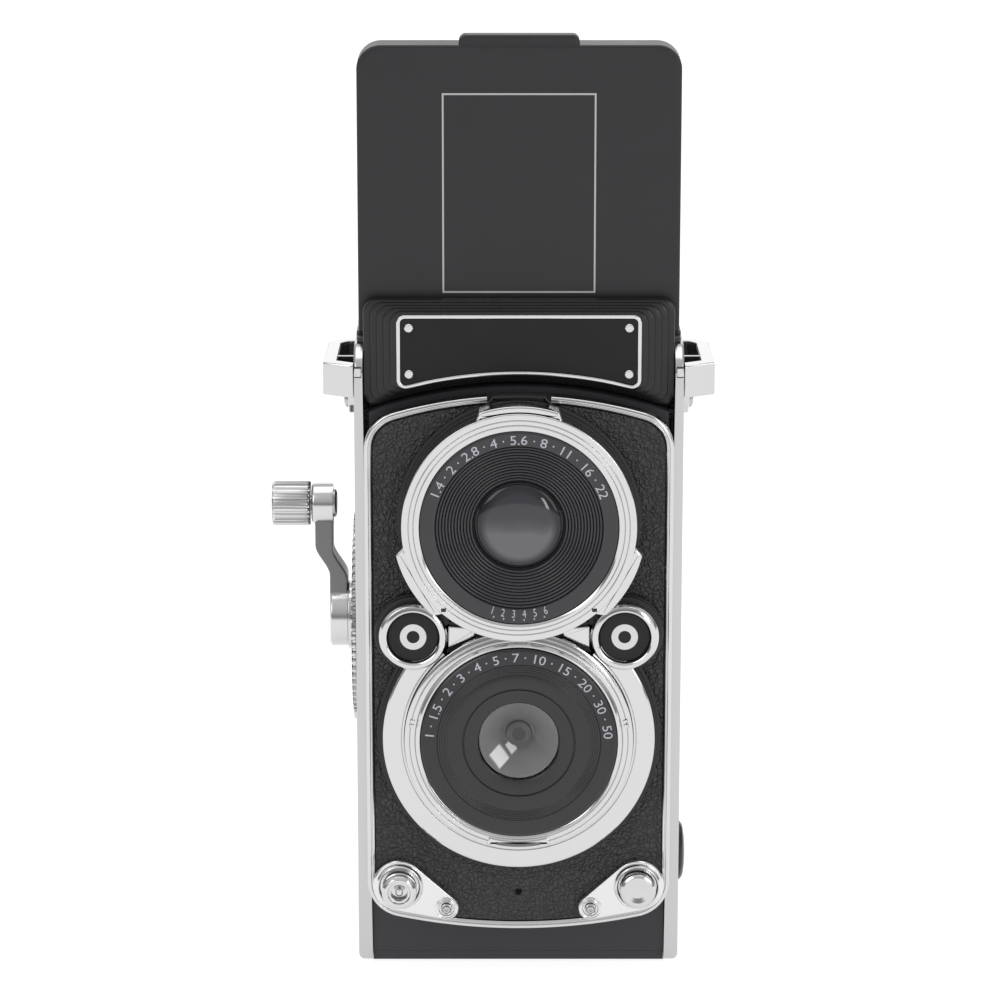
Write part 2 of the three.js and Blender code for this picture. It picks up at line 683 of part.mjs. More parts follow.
add('shutter_button', frontTurned([
  [0, 0], [shutterRadius, 0], [shutterRadius, 1.9], [shutterRadius - 0.5, 2.3], [0.8, 2.15], [0, 2.1],
], cornerX, cornerBack - shutterTravel - 0.05, cornerZ, turns), chrome);

// ---- strap lugs ----
const lugFront = frontY + 0.6;
const lugFootThick = 0.75;
const lugFace = halfBody + lugReach;
const screwDrop = 1.4;           // screw below the lug's lower edge
const lugScrewY = lugFront + 5.6;
const lugSeat = halfBody + seatGap;
const lugRear = lugFront + lugLength;
for (const [word, side] of [['left', -1], ['right', 1]]) {
  const plan = new THREE.Shape();
  plan.moveTo(side * lugSeat, lugFront + 1.2);
  plan.lineTo(side * (lugSeat + 0.6), lugFront);
  plan.lineTo(side * (lugFace - 0.6), lugFront + 1.6);
  plan.quadraticCurveTo(side * lugFace, lugFront + 1.8, side * lugFace, lugFront + 2.4);
  plan.lineTo(side * (lugFace - 0.5), lugRear - 2);
  plan.quadraticCurveTo(side * (lugFace - 0.6), lugRear, side * (lugFace - 2.4), lugRear);
  plan.lineTo(side * lugSeat, lugRear);
  const slotNear = side * (lugSeat + 0.8);
  const slotFar = side * (lugFace - lugWall);
  const slot = block(
    Math.min(slotNear, slotFar), Math.max(slotNear, slotFar),
    lugFront + 2.8, lugRear - 1.8,
    lugTop - lugHeight - 2, lugTop + 2,
  );
  const foot = new THREE.Shape();
  foot.moveTo(lugFront + 1.4, lugTop);
  foot.lineTo(lugFront + 3.2, lugTop - lugHeight - 1.6);
  foot.absarc(lugScrewY, lugTop - lugHeight - 1.2, 2, Math.PI * 1.1, Math.PI * 1.9);
  foot.lineTo(lugRear - 1, lugTop);
  const xLow = side < 0 ? -lugSeat - lugFootThick : lugSeat;
  add(`strap_lug_${word}`, join(
    cut(floorSlab(plan, lugTop - lugHeight, lugHeight), slot),
    sideSlab(foot, xLow, lugFootThick),
  ), chrome);
  add(`lug_screw_${word}`, sideTurned([[0, 0], [1.1, 0], [1, 0.35], [0.5, 0.6], [0, 0.65]],
    side * (lugSeat + lugFootThick + seatGap), lugScrewY, lugTop - lugHeight - screwDrop, side, 16), steel);
}

// ---- crank ----
const wheelSeat = -halfBody - slipGap;
const hubFoot = wheelSeat - wheelThick;

// A round outline in Y and Z with ribs: a share of each rib's pitch stands at radius, the rest lies deeper.
function ribbed(y, z, radius, ribs, depth, marks) {
  const shape = new THREE.Shape();
  for (let i = 0; i < ribs; i++) {
    marks.forEach(([part, low]) => {
      const angle = 2 * Math.PI * (i + part) / ribs;
      const reach = radius - low * depth;
      shape[i + part === 0 ? 'moveTo' : 'lineTo'](y + reach * Math.cos(angle), z + reach * Math.sin(angle));
    });
  }
  return shape;
}

const toothed = ribbed(crankY, crankZ, wheelRadius, wheelTeeth, 0.6, [[0, 0], [0.5, 1]]);
add('crank_wheel', cut(
  join(
    sideSlab(toothed, hubFoot, wheelThick),
    sideTurned(rod(crankHubRadius, hubRise + 0.5), hubFoot + 0.5, crankY, crankZ, -1, turns),
  ),
  sideTurned(rod(shaftRadius + seatGap, 6), wheelSeat + 1, crankY, crankZ, -1, 20),
), satin);
const hubFace = hubFoot - hubRise;
const armInner = hubFace - seatGap;
const armRise = 1.9;
const arm = new THREE.Shape();
arm.moveTo(armInner, crankZ - 4.2);
arm.lineTo(armInner - armThick + 0.6, crankZ - 4.2);
arm.lineTo(armInner - armThick, crankZ - 3.4);
arm.lineTo(armInner - armThick, crankZ + 5.2);
arm.quadraticCurveTo(armInner - armThick, crankZ + 6.6, armInner - armThick - 1, crankZ + 7.6);
arm.quadraticCurveTo(
  armInner - armThick - armRise, crankZ + 8.6, armInner - armThick - armRise, crankZ + 10.2,
);
arm.lineTo(armInner - armThick - armRise, crankZ + crankLength);
arm.lineTo(armInner - armRise, crankZ + crankLength);
arm.lineTo(armInner - armRise, crankZ + 9.8);
arm.quadraticCurveTo(armInner - armRise, crankZ + 8.8, armInner - armRise + 0.9, crankZ + 7.8);
arm.quadraticCurveTo(armInner, crankZ + 6.8, armInner, crankZ + 5.4);
const eyeInner = armInner - armRise;
const eyeThick = armThick + 0.4;
const eyeOuter = eyeInner - eyeThick;
const screwRadius = 1.1;
add('crank_arm', cut(
  join(
    frontSlab(arm, crankY + armWidth / 2, armWidth, 5),
    sideTurned(rod(eyeRadius, eyeThick), eyeInner, crankY, crankZ + crankLength, -1, turns),
    sideTurned(rod(crankHubRadius - 0.4, armThick), armInner, crankY, crankZ, -1, turns),
  ),
  sideTurned(rod(screwRadius + seatGap, 8), eyeInner + 2, crankY, crankZ + crankLength, -1, 16),
  sideTurned(rod(shaftRadius + seatGap, 1.2), armInner + 0.2, crankY, crankZ, -1, 20),
), chrome);
const shaftEnd = -halfBody + 4.7;  // inside the shell
const shaftLength = shaftEnd - armInner + 0.8;
add('crank_shaft', sideTurned(rod(shaftRadius, shaftLength), shaftEnd, crankY, crankZ, -1, 20), steel);
const gripFoot = eyeOuter - 0.2;
const gripZ = crankZ + crankLength;
const gripShape = ribbed(crankY, gripZ, gripRadius, gripRibs, 0.25, [[0, 0], [0.5, 0], [0.7, 1]]);
add('crank_grip', cut(
  sideSlab(gripShape, gripFoot - gripLength, gripLength),
  sideTurned(rod(screwRadius + slipGap, gripLength - 1.2), gripFoot + 0.2, crankY, gripZ, -1, 16),
), chrome);
const headThick = 0.45;
const screwLength = gripLength + armThick - 0.6;
add('crank_screw', sideTurned([
  [0, 0], [1.9, 0], [1.9, headThick], [screwRadius, headThick], [screwRadius, screwLength], [0, screwLength],
], eyeInner + headThick + seatGap, crankY, crankZ + crankLength, -1, 16), steel);

// ---- inside the shell ----
const boardRear = shellRear - 2.7;
const mainBoard = block(-15, 15, boardRear - 1.2, boardRear, 14, bodyHeight - 9.5);
const portSocket = block(-5, 5, boardRear - 0.3, shellRear - 0.2, doorFoot + 7, doorFoot + 13);
add('main_board', join(mainBoard, portSocket), boardGreen);
const cellShape = roundRect(-11, 11, -9, 7, 2.5);
const cellFoot = 48;
const cellHeight = 30;
add('battery_cell', floorSlab(cellShape, cellFoot, cellHeight, 5), steel);

export default group;
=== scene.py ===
import math
import bmesh
import bpy
import numpy as np
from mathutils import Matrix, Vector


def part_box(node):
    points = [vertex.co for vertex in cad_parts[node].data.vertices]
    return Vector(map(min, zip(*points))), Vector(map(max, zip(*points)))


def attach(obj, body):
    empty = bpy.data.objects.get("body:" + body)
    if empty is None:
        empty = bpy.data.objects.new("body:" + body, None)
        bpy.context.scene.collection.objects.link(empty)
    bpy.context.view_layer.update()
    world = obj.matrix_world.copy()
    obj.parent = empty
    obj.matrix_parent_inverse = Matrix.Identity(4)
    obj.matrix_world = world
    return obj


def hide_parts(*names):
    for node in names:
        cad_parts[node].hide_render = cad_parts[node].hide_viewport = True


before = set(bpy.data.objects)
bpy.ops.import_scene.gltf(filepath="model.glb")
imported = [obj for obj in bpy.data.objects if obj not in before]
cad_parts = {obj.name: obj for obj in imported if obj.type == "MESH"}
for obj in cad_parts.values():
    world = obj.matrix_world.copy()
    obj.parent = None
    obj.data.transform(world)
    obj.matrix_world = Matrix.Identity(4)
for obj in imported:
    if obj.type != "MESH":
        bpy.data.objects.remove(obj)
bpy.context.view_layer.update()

mm = 0.001
print("frame loaded")


def box(node):
    # lowest and highest corner of a node, in millimetres
    low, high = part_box(node)
    return np.array(low) / mm, np.array(high) / mm


def centre(node):
    low, high = box(node)
    return (low + high) / 2


# outlines and profiles
def soften(corners, closed=False, steps=5):
    # a polyline whose corners (a, b, radius) are replaced by arcs tangent to both neighbours
    points = np.array([corner[:2] for corner in corners], float)
    parts = []
    for i, corner in enumerate(corners):
        radius = corner[2] if len(corner) > 2 else 0
        if radius <= 0 or (not closed and i in (0, len(corners) - 1)):
            parts.append(points[i][None])
            continue
        before = points[i - 1] - points[i]
        after = points[(i + 1) % len(points)] - points[i]
        far = min(np.linalg.norm(before), np.linalg.norm(after)) * 0.48
        before /= np.linalg.norm(before)
        after /= np.linalg.norm(after)
        half = 0.5 * math.acos(float(np.clip(before @ after, -1, 1)))
        back = min(radius / math.tan(half), far)
        bend = back * math.tan(half)
        middle = before + after
        hub = points[i] + middle / np.linalg.norm(middle) * bend / math.sin(half)
        first = points[i] + before * back - hub
        last = points[i] + after * back - hub
        start = math.atan2(first[1], first[0])
        turn = (math.atan2(last[1], last[0]) - start + math.pi) % (2 * math.pi) - math.pi
        angles = start + turn * np.linspace(0, 1, steps + 1)
        parts.append(hub + bend * np.stack([np.cos(angles), np.sin(angles)], 1))
    return np.concatenate(parts)


def arcs(pieces, steps=16):
    # circle arcs (centre a, centre b, radius, first and last angle in degrees) one after the other
    share = np.linspace(0, 1, steps + 1)
    parts = []
    for a, b, radius, first, last in pieces:
        angles = np.radians(first + (last - first) * share)
        parts.append(np.stack([a + radius * np.cos(angles), b + radius * np.sin(angles)], 1))
    return np.concatenate(parts)


def roundRect(a0, a1, b0, b1, radius, steps=10):
    # a rectangle with round corners, anticlockwise from its right upper corner
    hubs = [(a1 - radius, b1 - radius), (a0 + radius, b1 - radius), (a0 + radius, b0 + radius),
            (a1 - radius, b0 + radius)]
    return arcs([(a, b, radius, 90 * k, 90 * k + 90) for k, (a, b) in enumerate(hubs)], steps)


def belt(a0, b0, r0, a1, b1, r1, steps=24):
    # the line round two circles, as a belt lies round two pulleys
    along = math.degrees(math.atan2(b1 - b0, a1 - a0))
    spread = math.degrees(math.acos((r0 - r1) / math.hypot(b1 - b0, a1 - a0)))
    return arcs([(a1, b1, r1, along - spread, along + spread),
                 (a0, b0, r0, along + spread, along - spread + 360)], steps)


def shrink(loop, inset, closed=True):
    # moves each point of a counterclockwise line inwards along its mitre
    step = np.roll(loop, -1, 0) - loop
    if not closed:
        step[-1] = step[-2]
    step = step / np.maximum(np.linalg.norm(step, axis=1, keepdims=True), 1e-9)
    before = np.roll(step, 1, 0)
    if not closed:
        before[0] = step[0]
    side = np.stack([step[:, 1], -step[:, 0]], 1)
    sideBefore = np.stack([before[:, 1], -before[:, 0]], 1)
    mitre = side + sideBefore
    mitre /= np.maximum(np.linalg.norm(mitre, axis=1, keepdims=True), 1e-9)
    reach = inset / np.maximum(np.sum(mitre * side, 1, keepdims=True), 0.4)
    return loop - mitre * reach


# surfaces
facings = {"front": (0, 2, 1, -1), "back": (0, 2, 1, 1), "left": (1, 2, 0, -1), "right": (1, 2, 0, 1),
           "up": (0, 1, 2, 1), "down": (0, 1, 2, -1)}


def lift(flat, height, seat, facing):
    # puts a flat line at a height over the plane at seat, facing one of six ways
    first, second, third, sign = facings[facing]
    flat = np.asarray(flat, float)
    points = np.zeros(flat.shape[:-1] + (3,))
    points[..., first] = flat[..., 0]
    points[..., second] = flat[..., 1]
    points[..., third] = seat + sign * np.broadcast_to(height, flat.shape[:-1])
    return points


def skin(rows, ring=False):
    # a closed surface through rows of points; the ends close with a cap, or a pole where a row is one point
    rows = np.asarray(rows, float)
    count, across = rows.shape[:2]
    last = count if ring else count - 1
    i = np.arange(last)[:, None]
    j = np.arange(across)[None, :]
    after = (j + 1) % across
    below = (i + 1) % count
    quads = np.stack([i * across + j, i * across + after, below * across + after, below * across + j], -1)
    points = rows.reshape(-1, 3)
    faces = quads.reshape(-1, 4)
    caps = []
    if not ring:
        for end in (0, count - 1):
            if np.ptp(rows[end], axis=0).max() < 1e-7:
                faces = np.where((faces // across) == end, end * across, faces)
            else:
                order = np.arange(across) + end * across
                caps.append((order[::-1] if end == 0 else order).tolist())
    quadList = [list(dict.fromkeys(face)) for face in faces.tolist()]
    used = [face for face in quadList if len(face) > 2]
    return points, used + caps


def volume(points, faces):
    # signed volume of a closed surface, from the triangles of its faces
    fans = [(face[0], face[k], face[k + 1]) for face in faces for k in range(1, len(face) - 1)]
    a, b, c = (points[np.array(fans)[:, k]] for k in range(3))
    return float(np.sum(a * np.cross(b, c)) / 6)


def turn(profile, u, v, seat, facing, segments=160):
    # a profile of (radius, height) turned once round the axis through u and v
    profile = np.asarray(profile, float)
    angles = np.linspace(0, 2 * np.pi, segments, endpoint=False)
    circle = np.stack([np.cos(angles), np.sin(angles)], 1)
    flat = profile[:, None, :1] * circle[None] + np.array([u, v])
    return lift(flat, profile[:, 1:2], seat, facing)


def slab(loop, levels, seat, facing, steps=4):
    # a plate: the outline at each level's inset and height, with the edges of the levels rounded
    path = soften(levels, steps=steps)
    return np.stack([lift(shrink(loop, inset), height, seat, facing) for inset, height in path])


def ringSlab(loop, section, seat, facing, steps=4):
    # a frame of even width: a closed section of (inset, height) carried round the outline
    path = soften(section, closed=True, steps=steps)
    return np.stack([lift(shrink(loop, inset), height, seat, facing) for inset, height in path])


def plainTurn(corners, u, v, seat, facing, segments=160, ring=False, steps=4):
    # a closed turned surface from softened corners; a ring has a bore
    return skin(turn(soften(corners, closed=ring, steps=steps), u, v, seat, facing, segments), ring)


def removeLoose(mesh):
    # drops points that no face uses
    edit = bmesh.new()
    edit.from_mesh(mesh)
    bmesh.ops.delete(edit, geom=[vert for vert in edit.verts if not vert.link_faces], context="VERTS")
    edit.to_mesh(mesh)
    edit.free()


def piece(name, shells, material, body, nodes, crease=32):
    # one object from closed surfaces, each turned to face outwards
    points, faces, start = [], [], 0
    for shellPoints, shellFaces in shells:
        if volume(shellPoints, shellFaces) < 0:
            shellFaces = [face[::-1] for face in shellFaces]
        points.append(shellPoints)
        faces += [[index + start for index in face] for face in shellFaces]
        start += len(shellPoints)
    mesh = bpy.data.meshes.new(name)
    mesh.from_pydata((np.concatenate(points) * mm).tolist(), [], faces)
    loose = np.setdiff1d(np.arange(start), np.unique(np.concatenate([np.array(face) for face in faces])))
    mesh.update()
    mesh.validate()
    if len(loose):
        removeLoose(mesh)
    mesh.shade_smooth()
    mesh.set_sharp_from_angle(angle=math.radians(crease))
    mesh.materials.append(material)
    made = bpy.data.objects.new(name, mesh)
    bpy.context.scene.collection.objects.link(made)
    # broad faces stay flat beside small rounded edges
    flatter = made.modifiers.new("flat_faces", "WEIGHTED_NORMAL")
    flatter.keep_sharp = True
    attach(made, body)
    if nodes:
        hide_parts(*nodes)
    return made


# shader maths
class Wire:
    # an output socket that takes part in arithmetic; every operator adds one Math node
    def __init__(self, finish, socket):
        self.finish = finish
        self.socket = socket

    def math(self, operation, *others):
        inputs = {k: value for k, value in enumerate((self,) + others)}
        return self.finish.node("Math", {"operation": operation}, inputs)

    def __add__(self, other):
        return self.math("ADD", other)

    def __sub__(self, other):
        return self.math("SUBTRACT", other)

    def __mul__(self, other):
        return self.math("MULTIPLY", other)

    def __truediv__(self, other):
        return self.math("DIVIDE", other)

    def __rsub__(self, other):
        return self.finish.node("Math", {"operation": "SUBTRACT"}, {0: other, 1: self})

    __radd__ = __add__
    __rmul__ = __mul__

    def below(self, edge, soft=0.0):
        # 1 under the edge and 0 over it, with a soft step
        if soft <= 0:
            return self.math("LESS_THAN", edge)
        ramp = (edge - self) / soft + 0.5
        return ramp.math("MAXIMUM", 0.0).math("MINIMUM", 1.0)

    def above(self, edge, soft=0.0):
        return 1.0 - self.below(edge, soft)


class Finish:
    def __init__(self, name):
        self.material = bpy.data.materials.new(name)
        self.material.use_nodes = True
        self.tree = self.material.node_tree
        self.tree.nodes.clear()
        self.place = None

    def feed(self, socket, value):
        if isinstance(value, Wire):
            self.tree.links.new(value.socket, socket)
        else:
            socket.default_value = value

    def node(self, kind, settings=None, inputs=None, output=0):
        made = self.tree.nodes.new("ShaderNode" + kind)
        for key, value in (settings or {}).items():
            if key == "stops":
                for k, (position, colour) in enumerate(value):
                    stops = made.color_ramp.elements
                    stop = stops[k] if k < len(stops) else stops.new(position)
                    stop.position = position
                    stop.color = colour
            else:
                setattr(made, key, value)
        for key, value in (inputs or {}).items():
            self.feed(made.inputs[key], value)
        return Wire(self, made.outputs[output])

    def spot(self):
        # object coordinates in millimetres
        if self.place is None:
            raw = self.node("TexCoord", output="Object")
            self.place = self.node("VectorMath", {"operation": "SCALE"}, {0: raw, "Scale": 1000.0})
        return self.place

    def axes(self):
        split = self.tree.nodes.new("ShaderNodeSeparateXYZ")
        self.feed(split.inputs[0], self.spot())
        return [Wire(self, split.outputs[k]) for k in range(3)]

    def stretched(self, scale):
        return self.node("VectorMath", {"operation": "MULTIPLY"}, {0: self.spot(), 1: scale})

    def noise(self, size, detail=3.0, rough=0.55, where=None):
        # noise whose lumps are about size millimetres across
        inputs = {"Vector": where or self.spot(), "Scale": 1.0 / size, "Detail": detail, "Roughness": rough}
        return self.node("TexNoise", {}, inputs)

    def mix(self, factor, first, second):
        return self.node("Mix", {"data_type": "RGBA"}, {0: factor, 6: first, 7: second}, 2)

    def bump(self, height, depth, strength=1.0):
        # depth in millimetres
        return self.node("Bump", {}, {"Height": height, "Distance": depth * mm, "Strength": strength})

    def surface(self, inputs):
        shader = self.node("BsdfPrincipled", {}, inputs)
        output = self.tree.nodes.new("ShaderNodeOutputMaterial")
        self.feed(output.inputs["Surface"], shader)
        return self.material


def grey(value, blue=1.0):
    # a neutral colour, or a slightly cool one
    return (value, value, value * blue, 1.0)


def mouldedBlack(name, tone=0.022, rough=0.42, grain=0.006, marks=None, shine=0.35):
    # satin moulded plastic: soft blotches, very fine grain, optional printed marks
    finish = Finish(name)
    cloud = finish.noise(9.0, 2.0)
    fine = finish.noise(0.16, 4.0, 0.7)
    colour = finish.mix(cloud, grey(tone * 0.86, 1.12), grey(tone * 1.14, 1.12))
    gloss = rough + (cloud - 0.5) * 0.12 + (fine - 0.5) * 0.08
    inputs = {"Roughness": gloss, "Normal": finish.bump(fine, grain), "Specular IOR Level": shine}
    if marks:
        colour = finish.mix(marks(finish), colour, grey(0.42))
    inputs["Base Color"] = colour
    return finish.surface(inputs)


def grainedLeather(name, tone=0.017):
    # pebbled leatherette: swollen cells between creases, long wrinkles, fine pores
    finish = Finish(name)
    sway = finish.node("TexNoise", {}, {"Vector": finish.spot(), "Scale": 0.9, "Detail": 2.0}, "Color")
    sway = finish.node("VectorMath", {"operation": "SCALE"}, {0: sway, "Scale": 1.3})
    where = finish.node("VectorMath", {"operation": "ADD"}, {0: finish.spot(), 1: sway})
    cells = finish.node("TexVoronoi", {"feature": "DISTANCE_TO_EDGE"}, {"Vector": where, "Scale": 1.5})
    small = finish.node("TexVoronoi", {"feature": "SMOOTH_F1"}, {"Vector": where, "Scale": 3.6})
    pores = finish.noise(0.13, 3.0, 0.7)
    wrinkle = 1.0 - (finish.noise(1.1, 3.0, 0.6, where) - 0.5).math("ABSOLUTE") * 5.0
    crown = (cells * 3.2).math("MINIMUM", 1.0).math("POWER", 0.5)
    height = crown * 0.7 + wrinkle.math("MAXIMUM", 0.0) * 0.45 - small * 0.5 + pores * 0.2
    # painted shade: the creases between cells are painted darker than the cell crowns
    colour = finish.mix(crown, grey(tone * 0.55, 1.08), grey(tone * 1.15, 1.08))
    shine = 0.5 - crown * 0.14 + (pores - 0.5) * 0.2
    return finish.surface({"Base Color": colour, "Roughness": shine, "Normal": finish.bump(height, 0.2),
                           "Specular IOR Level": 0.55})


def brightChrome(name, tone=0.9, rough=0.09, haze=0.06, scratch=0.0012):
    # plated metal: slight haze in patches, faint long scratches
    finish = Finish(name)
    patch = finish.noise(5.0, 3.0)
    lines = finish.noise(0.5, 3.0, 0.6, finish.stretched((0.12, 0.12, 2.4)))
    shine = rough + patch * haze
    colour = finish.mix(patch, grey(tone * 0.97, 1.01), grey(tone, 1.01))
    return finish.surface({"Base Color": colour, "Metallic": 1.0, "Roughness": shine,
                           "Normal": finish.bump(lines, scratch)})


def glossBlack(name, tone=0.012, rough=0.16, marks=None, shine=0.4, coat=0.3):
    # lacquered black with faint clouds, optional printed marks
    finish = Finish(name)
    cloud = finish.noise(4.0, 3.0)
    colour = finish.mix(cloud, grey(tone * 0.8), grey(tone * 1.2))
    if marks:
        colour = finish.mix(marks(finish), colour, grey(0.66))
    return finish.surface({"Base Color": colour, "Roughness": rough + cloud * 0.08,
                           "Specular IOR Level": shine,
                           "Normal": finish.bump(finish.noise(0.3), 0.0015), "Coat Weight": coat,
                           "Coat Roughness": 0.08})


chrome = brightChrome("plated_chrome", 0.62)
softChrome = brightChrome("satin_chrome", 0.6, 0.12, 0.05, 0.002)
frameChrome = brightChrome("frame_chrome", 0.52, 0.14, 0.06, 0.002)
plateChrome = brightChrome("corner_chrome", 0.72, 0.16, 0.05)
steel = brightChrome("turned_steel", 0.5, 0.24, 0.1, 0.003)
armSteel = brightChrome("arm_steel", 0.62, 0.16, 0.06, 0.002)
gripSteel = brightChrome("grip_steel", 0.6, 0.26, 0.06, 0.002)
# painted shade: a dark copy of the arm's steel, for the crank bar's shaded face and the shade in the lower
# ring's slit
paintedShadeSteel = brightChrome("painted_shade_steel", 0.17, 0.24, 0.1, 0.002)
# painted shade: a dark sheet for the inside of the strap lugs' loops, where their inner walls fall in shade
paintedShadeLiner = mouldedBlack("lug_loop_painted_shade", 0.05, 0.3, 0.003)
lowBezelBlack = mouldedBlack("low_bezel_black", 0.018, 0.26, 0.002, None, 0.45)
moulded = mouldedBlack("moulded_black", 0.03)
blockBlack = mouldedBlack("block_black", 0.013, 0.28, 0.003, None, 0.4)
boardBlack = mouldedBlack("board_black", 0.016, 0.36, 0.004)
bezelBlack = mouldedBlack("bezel_black", 0.026, 0.26, 0.002, None, 0.5)
leather = grainedLeather("black_leatherette")
gloss = glossBlack("gloss_black")
rubber = mouldedBlack("soft_rubber", 0.02, 0.62, 0.012)
inkWhite = mouldedBlack("ink_white", 0.42, 0.6, 0.002)
print("finishes made")


# lens board with its trim
board = {"half": 19.8, "low": float(box("board_trim")[0][2]), "high": float(box("lens_board")[1][2]),
         "crown": 57.0, "foot": 75.0, "corner": 5.0, "trim": 0.97, "bumpHalf": 3.6, "arch": 70}


def boardLoop(steps=28):
    # straight sides between two shallow arches, joined by round corners
    reach = board["half"] - board["corner"]
    crownZ = board["high"] - board["crown"]
    footZ = board["low"] + board["foot"]
    topZ = crownZ + math.sqrt((board["crown"] - board["corner"]) ** 2 - reach ** 2)
    lowZ = footZ - math.sqrt((board["foot"] - board["corner"]) ** 2 - reach ** 2)
    top = math.degrees(math.atan2(topZ - crownZ, reach))
    low = math.degrees(math.atan2(footZ - lowZ, reach))
    return arcs([(reach, topZ, board["corner"], 0, top), (0, crownZ, board["crown"], top, 180 - top),
                 (-reach, topZ, board["corner"], 180 - top, 180),
                 (-reach, lowZ, board["corner"], 180, 180 + low),
                 (0, footZ, board["foot"], 180 + low, 360 - low),
                 (reach, lowZ, board["corner"], 360 - low, 360)],
                steps)


boardBack = box("lens_board")[1][1]
boardFace = box("board_leather")[0][1]
trimBack = box("board_trim")[1][1]
trimFront = box("board_trim")[0][1]
deep = boardBack - trimBack
bumpFront = box("lens_board")[0][1]
bumpLoop = np.array([(3.55, -0.35), (3.45, -0.12), (0, 0), (-3.45, -0.12), (-3.55, -0.35), (-4.7, -1.55),
                     (4.7, -1.55)]) + np.array([0, board["high"]])
piece("lens_board_body", [
    skin(slab(boardLoop(), [(0.65, 0), (0.65, deep, 0.15), (1.02, deep + 0.02), (1.02, deep + 1.1)],
              boardBack, "front")),
    skin(slab(soften([(a, b, 0.25) for a, b in bumpLoop], True),
              [(0, 0), (0, boardFace + 1.2 - bumpFront, 0.2), (0.5, boardFace + 1.2 - bumpFront)],
              boardFace + 1.2, "front")),
], boardBlack, "body", ["lens_board"])


hole = {"radius": 0.44, "lip": 0.36, "bore": 0.3, "rise": 5.1, "proud": 0.06, "floor": 0.02}
holeProfile = [(0, 0), (hole["radius"], 0), (hole["radius"], hole["proud"], 0.03),
               (hole["lip"], hole["proud"]),
               (hole["bore"], hole["floor"]), (0, hole["floor"])]
# painted shade: the microphone hole is a near-black disc barely dished into the board face, dark as the shade
# inside a hole
piece("microphone_hole", [plainTurn(holeProfile, 0, board["low"] + hole["rise"], boardFace + 0.02, "front",
                                    40)],
      mouldedBlack("microphone_painted_shade", 0.002, 0.6, 0.002, None, 0.1), "body", [])


def sweep(path, section, seat, facing):
    # an open strip: the closed section of (inset, height) carried along a line, with its ends capped
    section = np.asarray(section)
    rings = [lift(shrink(path, inset, False), height, seat, facing) for inset, height in section]
    return np.stack(rings, 1)


loop = boardLoop(40)
gap = board["bumpHalf"] + 0.06
start = int(np.argmin(np.abs(loop[:, 0] + gap) + 1000 * (loop[:, 1] < board["arch"])))
path = np.roll(loop, -start, 0)
path = path[~((np.abs(path[:, 0]) < gap) & (path[:, 1] > board["arch"]))]
path = path[np.r_[True, np.linalg.norm(np.diff(path, axis=0), axis=1) > 1e-6]]
rise = trimBack - trimFront
trimSection = soften([(0, 0), (0, rise - 0.05, 0.3), (0.48, rise + 0.02, 0.12), (0.55, rise - 0.17, 0.05),
                      (0.66, rise - 0.17, 0.05), (0.72, rise - 0.05, 0.08),
                      (board["trim"], rise - 0.25, 0.12),
                      (board["trim"], 0)], True, 4)
piece("board_trim_strip", [skin(sweep(path, trimSection, trimBack, "front"))], chrome, "body", ["board_trim"])

# black lens plate
plate = {"upper": (float(centre("upper_bezel")[2]), 15.7), "lower": (float(centre("lower_bezel")[2]), 18.4),
         "dial": (float(centre("dial_cap_right")[0]), float(centre("dial_cap_right")[2]), 5.1), "bore": 5.45}
plateBack = box("lens_plate")[1][1]
plateRise = plateBack - box("lens_plate")[0][1]
stepped = [(0, 0), (1, 0), (1, 0.75, 0.12), (0.972, 0.78), (0.972, plateRise, 0.12), (0, plateRise)]


def steppedDisc(u, v, radius):
    corners = [(point[0] * radius,) + tuple(point[1:]) for point in stepped]
    return plainTurn(corners, u, v, plateBack, "front")


lowerDisc = [(plate["bore"], 0)] + [(a * plate["lower"][1], *rest) for a, *rest in stepped[1:-1]]
lowerDisc += [(plate["bore"], plateRise)]
piece("lens_plate_disc", [
    steppedDisc(0, *plate["upper"]),
    plainTurn(lowerDisc, 0, plate["lower"][0], plateBack, "front", 160, True),
    steppedDisc(-plate["dial"][0], *plate["dial"][1:]),
    steppedDisc(plate["dial"][0], *plate["dial"][1:]),
], boardBlack, "body", ["lens_plate"])
print("lens board made")

# lens rings
seat = box("upper_bezel")[1][1]
upperZ = plate["upper"][0]
lowerZ = plate["lower"][0]


def tabShell(inner, outer, wide, narrow, angle, z, low, high, corner=0.5, edge=0.25, flat=0.6):
    # a bayonet tab: a ring sector, wider at its root than at its tip, with rounded edges
    middle = math.radians(angle)
    share = np.linspace(-1, 1, 13)
    tip = middle + math.radians(narrow) * share
    root = middle + math.radians(wide) * share[::-1]
    outerLine = outer * np.stack([np.cos(tip), np.sin(tip)], 1)
    innerLine = inner * np.stack([np.cos(root), np.sin(root)], 1)
    corners = [(a, b, corner if k in (0, 12) else 0) for k, (a, b) in enumerate(outerLine)]
    corners += [(a, b) for a, b in innerLine]
    line = soften(corners, True) + np.array([0, z])
    return skin(slab(line, [(0, low), (0, high, edge), (flat, high)], seat, "front"))


